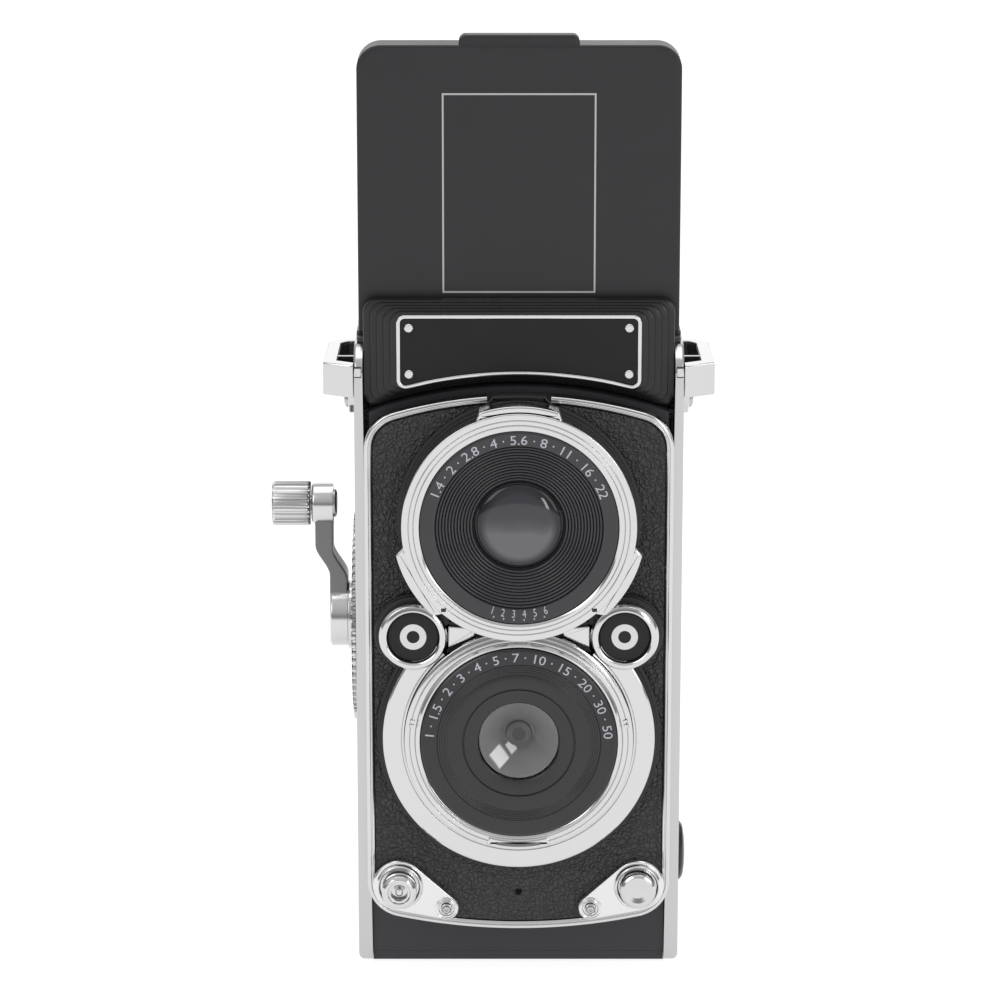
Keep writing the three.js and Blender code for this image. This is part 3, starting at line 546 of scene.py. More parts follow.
fine = {"corner": 0.04, "edge": 0.04, "flat": 0.06}
upperRing = [(12.76, 0), (14.0, 0), (14.03, 0), (15.0, 0), (15.0, 3.38, 0.14), (14.2, 3.4, 0.04),
             (14.12, 3.28),
             (14.03, 3.41, 0.04), (13.58, 3.42, 0.04), (13.5, 3.3), (13.42, 3.43, 0.04), (13.05, 3.45, 0.08),
             (12.76, 3.3, 0.06)]
rows = turn(soften(upperRing, True), 0, upperZ, seat, "front", 256)
away = np.hypot(rows[..., 0], rows[..., 2] - lowerZ)
reach = np.hypot(rows[..., 0], rows[..., 2] - upperZ)
under = seat - 2.2
rows[..., 1] = np.where((away < 15.1) & (reach > 14.02) & (rows[..., 1] > under), under, rows[..., 1])
piece("upper_ring", [
    skin(rows, True),
    tabShell(14.5, 15.85, 23.2, 18.8, 90, upperZ, 0.05, 2.9),
    *[tabShell(14.5, 16.15, 21.5, 16.8, angle, upperZ, 0.05, 2.9) for angle in (210, 330)],
], chrome, "body", ["upper_bayonet_ring"])
notch = {"half": 0.32, "halfHigh": 0.22, "out": 9.65, "down": 10.8, "rise": 3.46}
notchLoop = roundRect(-notch["half"], notch["half"], -notch["halfHigh"], notch["halfHigh"], 0.08, 3)
notchLines = [notchLoop + np.array([sign * notch["out"], upperZ - notch["down"]]) for sign in (-1, 1)]
piece("upper_ring_notches",
      [skin(slab(line, [(0, 0), (0, notch["rise"])], seat, "front")) for line in notchLines],
      boardBlack, "body", [])


def grooves(outer, inner, count, top, slope, depth):
    # a cone with evenly spaced round-bottomed grooves
    share = np.linspace(0, 1, count * 8 + 1)
    radius = outer + (inner - outer) * share
    wave = np.abs(np.sin(np.pi * count * share)) ** 0.7
    return np.stack([radius, top - slope * share - depth * (1 - wave)], 1)


grooved = np.concatenate([
    soften([(0, 0), (12.7, 0), (12.7, 3.2, 0.1), (12.4, 3.3, 0.08), (10.78, 3.26, 0.06), (10.7, 3.1)]),
    grooves(10.66, 5.9, 12, 3.14, 1.15, 0.24),
    soften([(5.8, 1.9), (5.68, 1.6, 0.1), (5.66, 0.8), (0, 0.8)]),
])
piece("upper_bezel_ring", [skin(turn(grooved, 0, upperZ, seat, "front", 256))], bezelBlack, "body",
      ["upper_bezel"])

flange = {"radius": 17.6, "from": 130, "to": 410}
flangeSection = soften([(0, 0), (0, 0.85, 0.12), (0.25, 1.02, 0.1), (2.35, 1.02, 0.05), (2.4, 0.94),
                        (2.5, 1.04, 0.04),
                        (2.74, 1.04, 0.05), (2.74, 0)], True, 4)
flangePath = arcs([(0, lowerZ, flange["radius"], flange["from"], flange["to"])], 220)
piece("lower_flange_ring", [skin(sweep(flangePath, flangeSection, seat, "front"))], chrome, "body",
      ["lower_flange"])

lowerRing = [(12.76, 0), (14.8, 0), (14.8, 1.75, 0.14), (14.2, 1.9, 0.05), (14.12, 1.8), (14.03, 1.95, 0.05),
             (13.5, 2.05, 0.05), (13.42, 1.96), (13.34, 2.2, 0.06), (13.05, 2.55, 0.08), (12.76, 2.4, 0.06)]
tabs = [tabShell(13.5, 14.78, 16.8, 16.4, 270, lowerZ, 0.3, 2.16)]
tabs += [tabShell(13.75, 14.35, 0.7, 0.7, angle, lowerZ, 0.3, 2.2, **fine) for angle in (168.5, 171, 9, 11.5)]
piece("lower_ring", [plainTurn(lowerRing, 0, lowerZ, seat, "front", 256, True)] + tabs, chrome, "body",
      ["lower_bayonet_ring"])
# painted shade: the slit is a dark steel insert between the tabs, standing in for the shade inside the slot
piece("lower_ring_slit_painted_shade", [tabShell(13.92, 14.34, 11.6, 11.6, 270, lowerZ, 0.3, 2.18, **fine)], paintedShadeSteel,
      "body", [])

shallow = np.concatenate([
    soften([(5.2, 0), (12.7, 0), (12.7, 2.5, 0.1), (12.4, 2.7, 0.1), (10.62, 2.64)]),
    grooves(10.55, 9.3, 4, 2.62, 0.06, 0.07),
    soften([(9.2, 2.54), (7.32, 2.44, 0.05), (7.26, 2.2), (7.14, 2.2), (7.08, 2.42, 0.05), (5.42, 2.2, 0.06),
            (5.27, 2.06), (5.27, 0.3), (5.2, 0.3)]),
])
piece("lower_bezel_ring", [skin(turn(shallow, 0, lowerZ, seat, "front", 256), True)], lowBezelBlack, "body",
      ["lower_bezel"])
print("lens rings made")

# thin raised numbers on the bezels
def numbers(name, text, size, radius, span, middle, z, height, flip=False):
    # letters lie on a circle: along the line becomes the angle, up the line becomes the radius
    curve = bpy.data.curves.new(name, "FONT")
    curve.body = text
    curve.size = size
    curve.extrude = 0.02
    curve.resolution_u = 3
    curve.align_x = "CENTER"
    writer = bpy.data.objects.new(name, curve)
    mesh = bpy.data.meshes.new_from_object(writer)
    bpy.data.objects.remove(writer)
    flat = np.empty(len(mesh.vertices) * 3)
    mesh.vertices.foreach_get("co", flat)
    flat = flat.reshape(-1, 3)
    along = flat[:, 0] / max(np.ptp(flat[:, 0]), 1e-6) * math.radians(span)
    angle = math.radians(middle) + (along if flip else -along)
    reach = radius - flat[:, 1] if flip else radius + flat[:, 1]
    bent = np.stack([reach * np.cos(angle), seat - height - flat[:, 2], z + reach * np.sin(angle)], 1) * mm
    mesh.vertices.foreach_set("co", bent.ravel())
    mesh.materials.clear()
    mesh.materials.append(inkWhite)
    mesh.update()
    made = bpy.data.objects.new(name, mesh)
    bpy.context.scene.collection.objects.link(made)
    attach(made, "body")
    return made


scale = {"size": 1.7, "radius": 10.98, "span": 138, "stopSpan": 172, "depthSize": 1.5, "depthRadius": 11.85,
         "depthSpan": 36, "proud": 3.3, "stopProud": 2.68, "tick": 6.2}
dot = " \u00b7 "
numbers("focus_numbers", dot.join(["1.4", "2", "2.8", "4", "5.6", "8", "11", "16", "22"]), scale["size"],
        scale["radius"], scale["span"], 90, upperZ, scale["proud"])
numbers("stop_numbers", dot.join(["1", "1.5", "2", "3", "4", "5", "7", "10", "15", "20", "30", "50"]),
        scale["size"],
        scale["radius"], scale["stopSpan"], 90, lowerZ, scale["stopProud"])
numbers("depth_numbers", "1   2   3   4   5   6", scale["depthSize"], scale["depthRadius"],
        scale["depthSpan"], 270,
        upperZ, scale["proud"], True)
ticks = [tabShell(12.02, 12.3, 0.42, 0.42, 270 + scale["tick"] * (k - 2.5), upperZ, 3.0, 3.34, **fine)
         for k in range(6)]
piece("depth_ticks", ticks, inkWhite, "body", [])
print("numbers made")

# glass


def domeGlass(name):
    # coated glass over a dark barrel: darker rim, and a paler lower half that is a painted reflection of the
    # floor
    finish = Finish(name)
    x, y, z = finish.axes()
    z = z - upperZ
    radius = (x * x + z * z).math("SQRT")
    # painted reflection: the lower half of the core is painted paler, standing in for the floor seen in the
    # glass
    lower = (z - finish.noise(3.0, 1.0) * 1.4).below(-0.4, 2.6)
    core = radius.below(4.5, 0.9)
    colour = finish.mix(core * lower, grey(0.016, 1.15), grey(0.12, 1.06))
    colour = finish.mix(core * (1.0 - lower) * 0.7, colour, grey(0.055, 1.15))
    return finish.surface({"Base Color": colour, "Roughness": 0.05 + finish.noise(6.0) * 0.03,
                           "Specular IOR Level": 0.5, "IOR": 1.45})


def clearGlass(name):
    finish = Finish(name)
    return finish.surface({"Base Color": grey(1.0), "Roughness": 0.01 + finish.noise(5.0) * 0.01,
                           "Transmission Weight": 1.0, "IOR": 1.1, "Alpha": 0.15})


def barrelFinish(name):
    # the barrel seen through the window: a grey cone, a fan below, two white patches that are painted
    # reflections, dark nub
    finish = Finish(name)
    x, y, z = finish.axes()
    z = z - lowerZ
    radius = (x * x + z * z).math("SQRT")
    fan = (z + radius * 0.42).below(0.0, 0.35)
    # painted reflections: a wide and a narrow white patch put into the colour as glints
    slant = x * 0.8 + z * 0.6
    across = z * 0.8 - x * 0.6
    wide = (slant + 3.6).math("ABSOLUTE").below(0.8, 0.25) * (across + 0.6).math("ABSOLUTE").below(1.1, 0.2)
    narrow = (slant + 1.9).math("ABSOLUTE").below(0.45, 0.15)
    narrow = narrow * (across + 0.9).math("ABSOLUTE").below(0.7, 0.15)
    base = finish.mix(finish.noise(3.0), grey(0.17), grey(0.21))
    colour = finish.mix(fan, base, grey(0.18))
    colour = finish.mix(wide.math("MAXIMUM", narrow), colour, grey(0.85))
    colour = finish.mix(radius.below(1.75, 0.12), colour, grey(0.1))
    colour = finish.mix(radius.below(0.9, 0.15), colour, grey(0.05))
    return finish.surface({"Base Color": colour, "Roughness": 0.4 + finish.noise(0.6) * 0.1})


glassBack = box("viewing_lens")[1][1]
glass = {"radius": 5.6, "rim": 0.8, "crown": 5.45, "foot": 0.86, "rise": 1.02, "window": 5.2, "back": 1.75,
         "front": 2.0}
dome = [(0, 0), (glass["radius"], 0), (glass["radius"], glass["rim"], 0.12)]
share = np.linspace(0, 1, 24)
domeCurve = np.stack([glass["crown"] * np.cos(share * np.pi / 2),
                      glass["foot"] + glass["rise"] * np.sin(share * np.pi / 2)], 1)
piece("viewing_glass",
      [skin(turn(np.concatenate([soften(dome), domeCurve]), 0, upperZ, glassBack, "front", 160))],
      domeGlass("coated_glass"), "body", ["viewing_lens"])
windowProfile = [(0, glass["back"]), (glass["window"], glass["back"]),
                 (glass["window"], glass["front"], 0.05),
                 (0, glass["front"])]
piece("window_glass", [plainTurn(windowProfile, 0, lowerZ, seat, "front")],
      clearGlass("window_clear"), "body", ["lens_window"])
barrelLow, barrelHigh = box("lens_barrel")
barrelLong = barrelHigh[1] - barrelLow[1]
piece("lens_barrel_cone", [plainTurn([
    (0, 0), (5.18, 0), (5.18, barrelLong + 2.3), (5.08, barrelLong + 2.36, 0.05),
    (4.9, barrelLong + 2.2, 0.1),
    (2.0, barrelLong - 0.85, 0.1), (1.75, barrelLong - 0.8), (1.7, barrelLong - 0.3, 0.2),
    (1.0, barrelLong - 0.15, 0.3), (0, barrelLong - 0.1),
], 0, lowerZ, barrelHigh[1], "front")], barrelFinish("barrel_grey"), "body", ["lens_barrel"])

# dials and bridges


def ringMark(u, v, inner, outer):
    # a printed ring about the point u, v of the front face
    def marks(finish):
        x, y, z = finish.axes()
        x = x - u
        z = z - v
        radius = (x * x + z * z).math("SQRT")
        return radius.below(outer, 0.05) * radius.above(inner, 0.05)
    return marks


dial = {"x": plate["dial"][0], "z": plate["dial"][1], "rim": 4.4, "cap": 3.25, "teeth": 36,
        "knurlFrom": 4.3, "knurlUpTo": 1.2, "knurlDepth": 0.1, "mark": (0.83, 1.7)}
for word, side in (("left", -1), ("right", 1)):
    u = side * dial["x"]
    rimRows = turn(soften([(3.31, 0), (dial["rim"], 0), (dial["rim"], 1.25, 0.15), (4.15, 1.72, 0.25),
                           (3.62, 1.86, 0.15),
                           (3.42, 1.72, 0.1), (3.31, 1.3, 0.1)], True), 0, 0, seat, "front", 288)
    outward = np.hypot(rimRows[..., 0], rimRows[..., 2])
    angles = np.arctan2(rimRows[..., 2], rimRows[..., 0])
    knurled = (outward > dial["knurlFrom"]) & (seat - rimRows[..., 1] < dial["knurlUpTo"])
    knurl = np.where(knurled, dial["knurlDepth"] * (np.cos(angles * dial["teeth"]) > 0), 0)
    rimRows[..., 0] *= 1 - knurl / outward
    rimRows[..., 2] *= 1 - knurl / outward
    rimRows += np.array([u, 0, dial["z"]])
    piece(f"dial_rim_{word}_knurled", [skin(rimRows, True)], chrome, f"dial_{word}", [f"dial_rim_{word}"])
    capFinish = glossBlack(f"dial_black_{word}", 0.012, 0.34, ringMark(u, dial["z"], *dial["mark"]), 0.25,
                           0.0)
    piece(f"dial_cap_{word}_disc", [plainTurn([
        (0, 0), (dial["cap"], 0), (dial["cap"], 1.15, 0.06), (3.05, 1.25, 0.05), (2.95, 1.18, 0.03),
        (2.85, 1.2, 0.03), (0, 1.2),
    ], u, dial["z"], seat, "front", 128)], capFinish, f"dial_{word}", [f"dial_cap_{word}"])
    wedge = np.array([(9.1, -2.0), (9.1, 0.8), (5.4, 0.5), (5.8, -0.5)]) + np.array([0, lowerZ + 14.3])
    if side < 0:
        wedge = (wedge * np.array([-1, 1]))[::-1]
    piece(f"bridge_{word}_web", [skin(slab(soften([(a, b, 0.12) for a, b in wedge], True),
                                           [(0, 0), (0, 0.5, 0.08), (0.15, 0.55)], seat, "front"))],
          chrome, "body", [f"bridge_{word}"])
print("dials made")

# corner plates, sync socket, shutter button
corner = {"x": float(centre("shutter_button")[0]), "z": float(centre("shutter_button")[2]), "radius": 3.5,
          "tailX": float(centre("plate_screw_right")[0]), "tailZ": float(centre("plate_screw_right")[2]),
          "tail": 1.65}
collar = [(2.5, 0.3), (3.1, 0.3), (3.1, 1.2, 0.12), (2.95, 1.45, 0.12), (2.8, 1.62, 0.1), (2.66, 1.5, 0.06),
          (2.5, 1.1, 0.06)]
washer = [(0, 0.5), (1.5, 0.5), (1.5, 1.05, 0.05), (1.4, 1.1, 0.04), (1.3, 1.04), (1.22, 1.04),
          (1.18, 1.16, 0.05), (1.05, 1.2, 0.05), (0.95, 1.12), (0, 1.12)]
plateSeat = box("corner_plate_left")[1][1]
for word, side in (("left", -1), ("right", 1)):
    line = belt(side * corner["x"], corner["z"], corner["radius"], side * corner["tailX"], corner["tailZ"],
                corner["tail"])
    piece(f"corner_plate_{word}_teardrop", [
        skin(slab(line, [(0, 0), (0, 0.72, 0.12), (0.16, 0.95, 0.14), (0.6, 0.95)], plateSeat, "front")),
        plainTurn(collar, side * corner["x"], corner["z"], plateSeat, "front", 128, True),
        plainTurn(washer, side * corner["tailX"], corner["tailZ"], plateSeat, "front", 72),
    ], plateChrome, "body", [f"corner_plate_{word}"])
    screwSeat = box(f"plate_screw_{word}")[1][1]
    piece(f"plate_screw_{word}_head", [plainTurn([
        (0, 0), (0.78, 0), (0.78, 0.24, 0.06), (0.66, 0.34, 0.05), (0.5, 0.2), (0.42, 0.34, 0.04),
        (0.2, 0.36),
        (0.14, 0.2), (0, 0.2),
    ], side * corner["tailX"], corner["tailZ"], screwSeat, "front", 64)], steel, "body",
          [f"plate_screw_{word}"])
socketSeat = box("sync_socket")[1][1]
piece("sync_socket_barrel", [plainTurn([
    (0, 0), (2.3, 0), (2.3, 1.9, 0.05), (2.15, 2.0), (2.15, 2.2), (2.28, 2.3, 0.05), (2.28, 3.0, 0.15),
    (1.9, 3.4, 0.2),
    (1.5, 3.4, 0.08), (1.4, 3.1, 0.05), (1.12, 3.1, 0.06), (1.06, 1.7), (0.52, 1.6), (0.5, 2.9, 0.12),
    (0.3, 3.1, 0.1),
    (0, 3.1),
], -corner["x"], corner["z"], socketSeat, "front", 128)], chrome, "body", ["sync_socket"])
buttonSeat = box("shutter_button")[1][1]
piece("shutter_button_cap", [plainTurn([
    (0, 0), (2.38, 0), (2.38, 1.7, 0.1), (2.3, 2.0, 0.25), (1.95, 2.28, 0.2), (1.6, 2.28, 0.2),
    (0.9, 2.12, 0.6),
    (0, 2.08),
], corner["x"], corner["z"], buttonSeat, "front", 128)], softChrome, "shutter", ["shutter_button"])
print("corner plates made")

# name block
block = {"half": 20.0, "top": float(box("name_block")[1][2]), "steps": 5, "side": 0.86, "rise": 0.38,
         "stepTop": 0.3, "stepFoot": 0.3, "crown": 57.3}


def blockLoop(side, top, foot, radius, footRadius):
    # a plate with round corners whose lower edge is an arc over the lens board's crown
    half = block["half"] - side
    high = block["top"] - top
    crownZ = board["high"] - board["crown"]
    under = block["crown"] + foot
    spots = np.linspace(-half + 4, half - 4, 33)
    lower = [(a, crownZ + math.sqrt(under ** 2 - a ** 2)) for a in spots]
    edge = crownZ + math.sqrt(under ** 2 - half ** 2)
    return soften([(half, high, radius), (-half, high, radius), (-half, edge, footRadius), *lower,
                   (half, edge, footRadius)], True, 8)


blockBack = box("name_block")[1][1]
levels = []
height = 1.4
for k in range(block["steps"]):
    line = blockLoop(block["side"] * k, block["stepTop"] * k, block["stepFoot"] * k, 1.6, 1.8)
    low = 0 if k == 0 else height - block["rise"]
    levels += [(line, low), (line, height - 0.14), (shrink(line, 0.05), height - 0.04),
               (shrink(line, 0.14), height)]
    height += block["rise"]
levels.append((shrink(levels[-1][0], 0.3), levels[-1][1]))
piece("name_block_body", [skin([lift(line, rise, blockBack, "front") for line, rise in levels])], blockBlack,
      "body",
      ["name_block"])
nameSeat = box("name_trim")[1][1]
nameFrame = {"side": 4.3, "top": 1.6, "foot": 1.3, "corner": 1.1, "footCorner": 1.2, "band": 0.5, "rise": 0.3}
nameLoop = blockLoop(nameFrame["side"], nameFrame["top"], nameFrame["foot"], nameFrame["corner"],
                     nameFrame["footCorner"])
nameSection = [(0, 0), (0, nameFrame["rise"], 0.12), (nameFrame["band"], nameFrame["rise"], 0.12),
               (nameFrame["band"], 0)]
piece("name_trim_frame", [skin(ringSlab(nameLoop, nameSection, nameSeat, "front"), True)], chrome, "body",
      ["name_trim"])
plateBlack = glossBlack("plate_black", 0.012, 0.3, None, 0.2, 0.0)
piece("name_plate_blank",
      [skin(slab(shrink(nameLoop, nameFrame["band"]), [(0.02, 0), (0.02, 0.2, 0.06), (0.3, 0.2)], nameSeat,
                                     "front"))], plateBlack, "body", ["name_plate"])
rivet = [(0, 0), (0.58, 0), (0.58, 0.16, 0.05), (0.48, 0.26, 0.06), (0, 0.28)]
for k in range(1, 5):
    low, high = box(f"name_rivet_{k}")
    middle = (low + high) / 2
    piece(f"name_rivet_{k}_head", [plainTurn(rivet, middle[0], middle[2], high[1], "front", 48)], softChrome,
          "body",
          [f"name_rivet_{k}"])
print("name block made")

# hood lid
lid = {"wall": 1.3, "radius": 3.1, "tab": 1.28, "markHalf": 9.7, "markLow": 90.1, "markHigh": 115.7,
       "line": 0.22}
lidLow, lidHigh = box("hood_lid")
lidTop = lidHigh[2] - lid["tab"]
lidDeep = lidHigh[1] - lidLow[1]
lidLoop = soften([(lidHigh[0], lidTop, lid["radius"]), (lidLow[0], lidTop, lid["radius"]),
                  (lidLow[0], lidLow[2]), (lidHigh[0], lidLow[2])], True, 14)
floorHeight = lidDeep - lid["wall"]
lidRows = slab(lidLoop, [(2.4, floorHeight), (1.3, floorHeight, 0.3), (1.3, 0, 0.2), (0, 0, 0.3),
                         (0, lidDeep, 0.34),
                         (0.9, lidDeep)], lidHigh[1], "front", 5)
heights = lidHigh[1] - lidRows[..., 1]
keep = np.clip((lidRows[..., 2] - lidLow[2] - 0.3) / 1.2, 0, 1)
raised = floorHeight - (floorHeight - heights) * (0.05 + 0.95 * keep)
lidRows[..., 1] = np.where(heights < floorHeight, lidHigh[1] - raised, lidRows[..., 1])


def frameMark(finish):
    # a thin rectangle printed on the outer face
    x, y, z = finish.axes()
    middle = (lid["markLow"] + lid["markHigh"]) / 2
    across = x.math("ABSOLUTE") - lid["markHalf"]
    along = (z - middle).math("ABSOLUTE") - (lid["markHigh"] - lid["markLow"]) / 2
    outside = across.math("MAXIMUM", along).math("ABSOLUTE")
    return outside.below(lid["line"] / 2, 0.06) * y.below(float(lidLow[1]) + 0.05)


lidFinish = mouldedBlack("lid_black", 0.018, 0.38, 0.005, frameMark)
tabLoop = roundRect(-7.65, 7.65, lidTop - 3, lidHigh[2], 0.9)
piece("hood_lid_pan", [
    skin(lidRows),
    skin(slab(tabLoop, [(0.3, 0), (0, 0.3), (0, 2.3, 0.35), (0.8, 2.3)], lidLow[1] + 2.5, "front")),
], lidFinish, "lid", ["hood_lid"])
print("lid made")

# hinge ears beside the lid's foot
ear = {"near": 19.5, "far": 20.95, "low": 83.56, "high": 84.6, "front": -15.2, "back": -12.2}
earRise = ear["high"] - ear["low"]
for word, sign in (("left", -1), ("right", 1)):
    earSides = sorted((sign * ear["near"], sign * ear["far"]))
    earLine = roundRect(*earSides, ear["front"], ear["back"], 0.4, 5)
    piece(f"hinge_ear_{word}",
          [skin(slab(earLine, [(0, 0), (0, earRise, 0.25), (0.4, earRise)], ear["low"], "up"))],
          blockBlack, "body", [])

# side frames
sideFrame = {"wall": 1.86, "border": 2.6, "foot": 1.25, "catch": 80.4, "pocketFrom": 74.3, "pocket": 20.08}


def frameLoop():
    # a tall side outline: small lower corners, round rear top corner, front edge leaning back at the top
    low, high = box("side_frame_left")
    front, rear, top = low[1], high[1], high[2]
    share = np.linspace(0, 1, 14)[:, None]
    bends = [np.array(point) for point in ([front + 3.6, top], [front + 0.9, top - 0.9], [front, top - 3.2])]
    lean = (1 - share) ** 2 * bends[0]
    lean = lean + 2 * share * (1 - share) * bends[1] + share ** 2 * bends[2]
    return np.concatenate([
        arcs([(rear - 1, 1, 1, -90, 0), (rear - 3, top - 3, 3, 0, 90)], 10), lean,
        arcs([(front + 1, 1, 1, 180, 270)], 10),
    ])


frameSection = [(0, 0), (0, sideFrame["wall"], 0.32), (sideFrame["border"], sideFrame["wall"], 0.3),
                (sideFrame["border"], 0)]
for word, facing, sign in (("left", "left", -1), ("right", "right", 1)):
    low, high = box(f"side_frame_{word}")
    inner = high[0] if sign < 0 else low[0]
    rows = ringSlab(frameLoop(), frameSection, inner, facing)
    # beside the name block the frame is cut back to the block's side
    pocket = (rows[..., 1] < blockBack + 0.1) & (rows[..., 2] > sideFrame["pocketFrom"])
    rows[..., 0] = np.where(pocket, sign * np.maximum(np.abs(rows[..., 0]), sideFrame["pocket"]),
                            rows[..., 0])
    foot = np.clip(sideFrame["foot"] - rows[..., 2], 0, sideFrame["foot"])
    edge = np.abs(inner) + sideFrame["wall"] - sideFrame["foot"] + np.sqrt(sideFrame["foot"] ** 2 - foot ** 2)
    rows[..., 0] = sign * np.minimum(np.abs(rows[..., 0]), np.maximum(edge, np.abs(inner) + 0.4))
    catch = [(roundRect(20.2, 21.1, sideFrame["catch"] - 0.7, sideFrame["catch"] + 0.7, 0.1, 3), 20.55, 21.04,
              boardBlack),
             (roundRect(20.25, 21.1, sideFrame["catch"] - 0.55, sideFrame["catch"] + 0.55, 0.1, 3), 20.6,
              21.1, softChrome)]
    piece(f"side_frame_{word}_rim", [skin(rows, True)], frameChrome, "body", [f"side_frame_{word}"])
    for k, (line, back, front, finish) in enumerate(catch):
        flat = line * np.array([sign, 1])
        piece(f"frame_catch_{word}_{k}",
              [skin(slab(flat[::sign], [(0, 0), (0, front - back, 0.05), (0.12, front - back)],
                                                    -back, "front"))], finish, "body", [])
print("side frames made")

# strap lugs
lug = {"near": 21.3, "far": 25.2, "tall": 4.3, "wall": 1.7, "bar": -14.6}
lugTop = float(box("strap_lug_right")[1][2])
loopFoot = lugTop - lug["tall"]
slotFar = lug["far"] - lug["wall"]
loopPath = np.array([(lug["near"], -20.7), (lug["near"] + 0.5, -20.7), (lug["far"], -18.8),
                     (lug["far"] - 0.2, -6.9),
                     (lug["far"] - 2.2, -4.7), (lug["near"], -4.7)])
loopSection = soften([(0, 0, 0.2), (0, lug["tall"], 0.24), (lug["wall"], lug["tall"], 0.14),
                      (lug["wall"], 0, 0.14)],
                     True, 4)
paintedShadeSection = [(lug["wall"] - 0.02, 0.25), (lug["wall"] - 0.02, lug["tall"] - 0.3),
                (lug["wall"] + 0.05, lug["tall"] - 0.34), (lug["wall"] + 0.05, 0.25)]
barPlan = [(lug["near"], lug["bar"] - 0.25), (slotFar + 0.3, lug["bar"] - 0.25),
           (slotFar + 0.3, lug["bar"] + 0.25),
           (lug["near"], lug["bar"] + 0.25)]
footPlan = soften([(-19.0, loopFoot + 1.2, 0.2), (-17.6, loopFoot - 1.6, 1.0), (-15.6, loopFoot - 3.3, 1.4),
                   (-13.9, loopFoot - 3.3, 1.4), (-11.6, loopFoot - 1.0, 1.0), (-6.0, loopFoot + 1.2, 0.2)],
                  True, 8)
for word, sign in (("left", -1), ("right", 1)):
    outward = "left" if sign < 0 else "right"
    mirrored = np.array([sign, 1])
    loopLine = (loopPath * mirrored)[::sign]
    barLine = (soften(barPlan, True) * mirrored)[::sign]
    rise = lug["tall"]
    shells = [
        skin(sweep(loopLine, loopSection, loopFoot, "up")),
        skin(slab(barLine, [(0.05, 0), (0, 0.1), (0, rise - 0.25), (0.08, rise - 0.12)], loopFoot, "up")),
        skin(slab(footPlan, [(0, 0), (0, 0.72, 0.25), (0.6, 0.75)], sign * lug["near"], outward)),
    ]
    piece(f"strap_lug_{word}_loop", shells, softChrome, "body", [f"strap_lug_{word}"])
    # painted shade: a dark sheet on the loop's inner walls stands in for the shade there
    piece(f"strap_lug_{word}_painted_shade_sheet", [skin(sweep(loopLine, paintedShadeSection, loopFoot, "up"))], paintedShadeLiner, "body",
          [])
    low, high = box(f"lug_screw_{word}")
    middle = (low + high) / 2
    piece(f"lug_screw_{word}_head",
          [plainTurn([(0, 0), (1.1, 0), (1.1, 0.25, 0.1), (0.8, 0.52, 0.25), (0, 0.65)],
                                               middle[1], middle[2], high[0] if sign < 0 else low[0], outward,
                     64)],
          steel, "body", [f"lug_screw_{word}"])
print("strap lugs made")

# crank
crank = {"y": float(centre("crank_wheel")[1]), "z": float(centre("crank_wheel")[2]), "length": 15.5,
         "wheel": 14.0,
         "teeth": 76, "toothDeep": 0.6, "wheelThick": 0.55, "hub": 4.6, "width": 4.4, "thick": 2.4,
         "stepOut": 1.9,
         "bendLow": 5.4, "bendHigh": 9.6, "grip": 3.0, "ribs": 22, "ribDeep": 0.26}


def gear(u, v, radius, teeth, depth, each=8):
    # a circle whose radius drops by depth between its teeth, with sloped flanks
    angles = np.linspace(0, 2 * np.pi, teeth * each, endpoint=False)
    wave = np.clip(np.sin(angles * teeth) * 1.6, -1, 1)
    reach = radius - depth * (0.5 - 0.5 * wave) ** 1.5
    return np.stack([u + reach * np.cos(angles), v + reach * np.sin(angles)], 1)


wheelLow, wheelHigh = box("crank_wheel")
wheelSeat = wheelHigh[0]
wheelThick = crank["wheelThick"]
hubHeight = wheelHigh[0] - wheelLow[0]
piece("crank_wheel_toothed", [
    skin(slab(gear(crank["y"], crank["z"], crank["wheel"], crank["teeth"], crank["toothDeep"]),
              [(0, 0), (0, wheelThick - 0.12), (0.12, wheelThick), (0.9, wheelThick, 0.1),
               (1.1, wheelThick - 0.2)],
              wheelSeat, "left")),
    plainTurn([(0, wheelThick - 0.4), (12.4, wheelThick - 0.4), (12.4, wheelThick - 0.05, 0.08),
               (6.2, wheelThick, 0.1), (5.6, wheelThick - 0.25, 0.1), (5.0, wheelThick - 0.2),
               (crank["hub"], wheelThick - 0.1),
               (crank["hub"], hubHeight, 0.1), (0, hubHeight)], crank["y"], crank["z"], wheelSeat, "left",
              160),
], softChrome, "crank", ["crank_wheel"])

armInner = box("crank_arm")[1][0]
gripLow, gripHigh = box("crank_grip")
eyeZ = crank["z"] + crank["length"]
stepOut = crank["stepOut"]
thick = crank["thick"]
share = np.linspace(0, 1, 20)
bend = stepOut * (share ** 2 * (3 - 2 * share))
bendLow, bendHigh = crank["z"] + crank["bendLow"], crank["z"] + crank["bendHigh"]
innerEdge = np.stack([armInner - bend, bendLow + (bendHigh - bendLow) * share], 1)
outerEdge = innerEdge + np.array([-thick, 0.5])
armLine = np.concatenate([
    [[armInner, crank["z"] - 3.4]], innerEdge, [[armInner - stepOut, eyeZ]],
    [[armInner - stepOut - thick, eyeZ]], outerEdge[::-1],
    [[armInner - thick, crank["z"] - 3.4]],
])
armRows = slab(soften([(a, b, 0.3 if k in (0, len(armLine) - 1) else 0) for k, (a, b) in enumerate(armLine)],
                      True),
               [(0.3, 0), (0.08, 0.08), (0, 0.3), (0, crank["width"] - 0.3), (0.08, crank["width"] - 0.08),
                (0.3, crank["width"])], crank["y"] + crank["width"] / 2, "front")
narrow = 1 - 0.3 * np.clip((armRows[..., 2] - crank["z"] - 2) / 12, 0, 1)
armRows[..., 1] = crank["y"] + (armRows[..., 1] - crank["y"]) * narrow
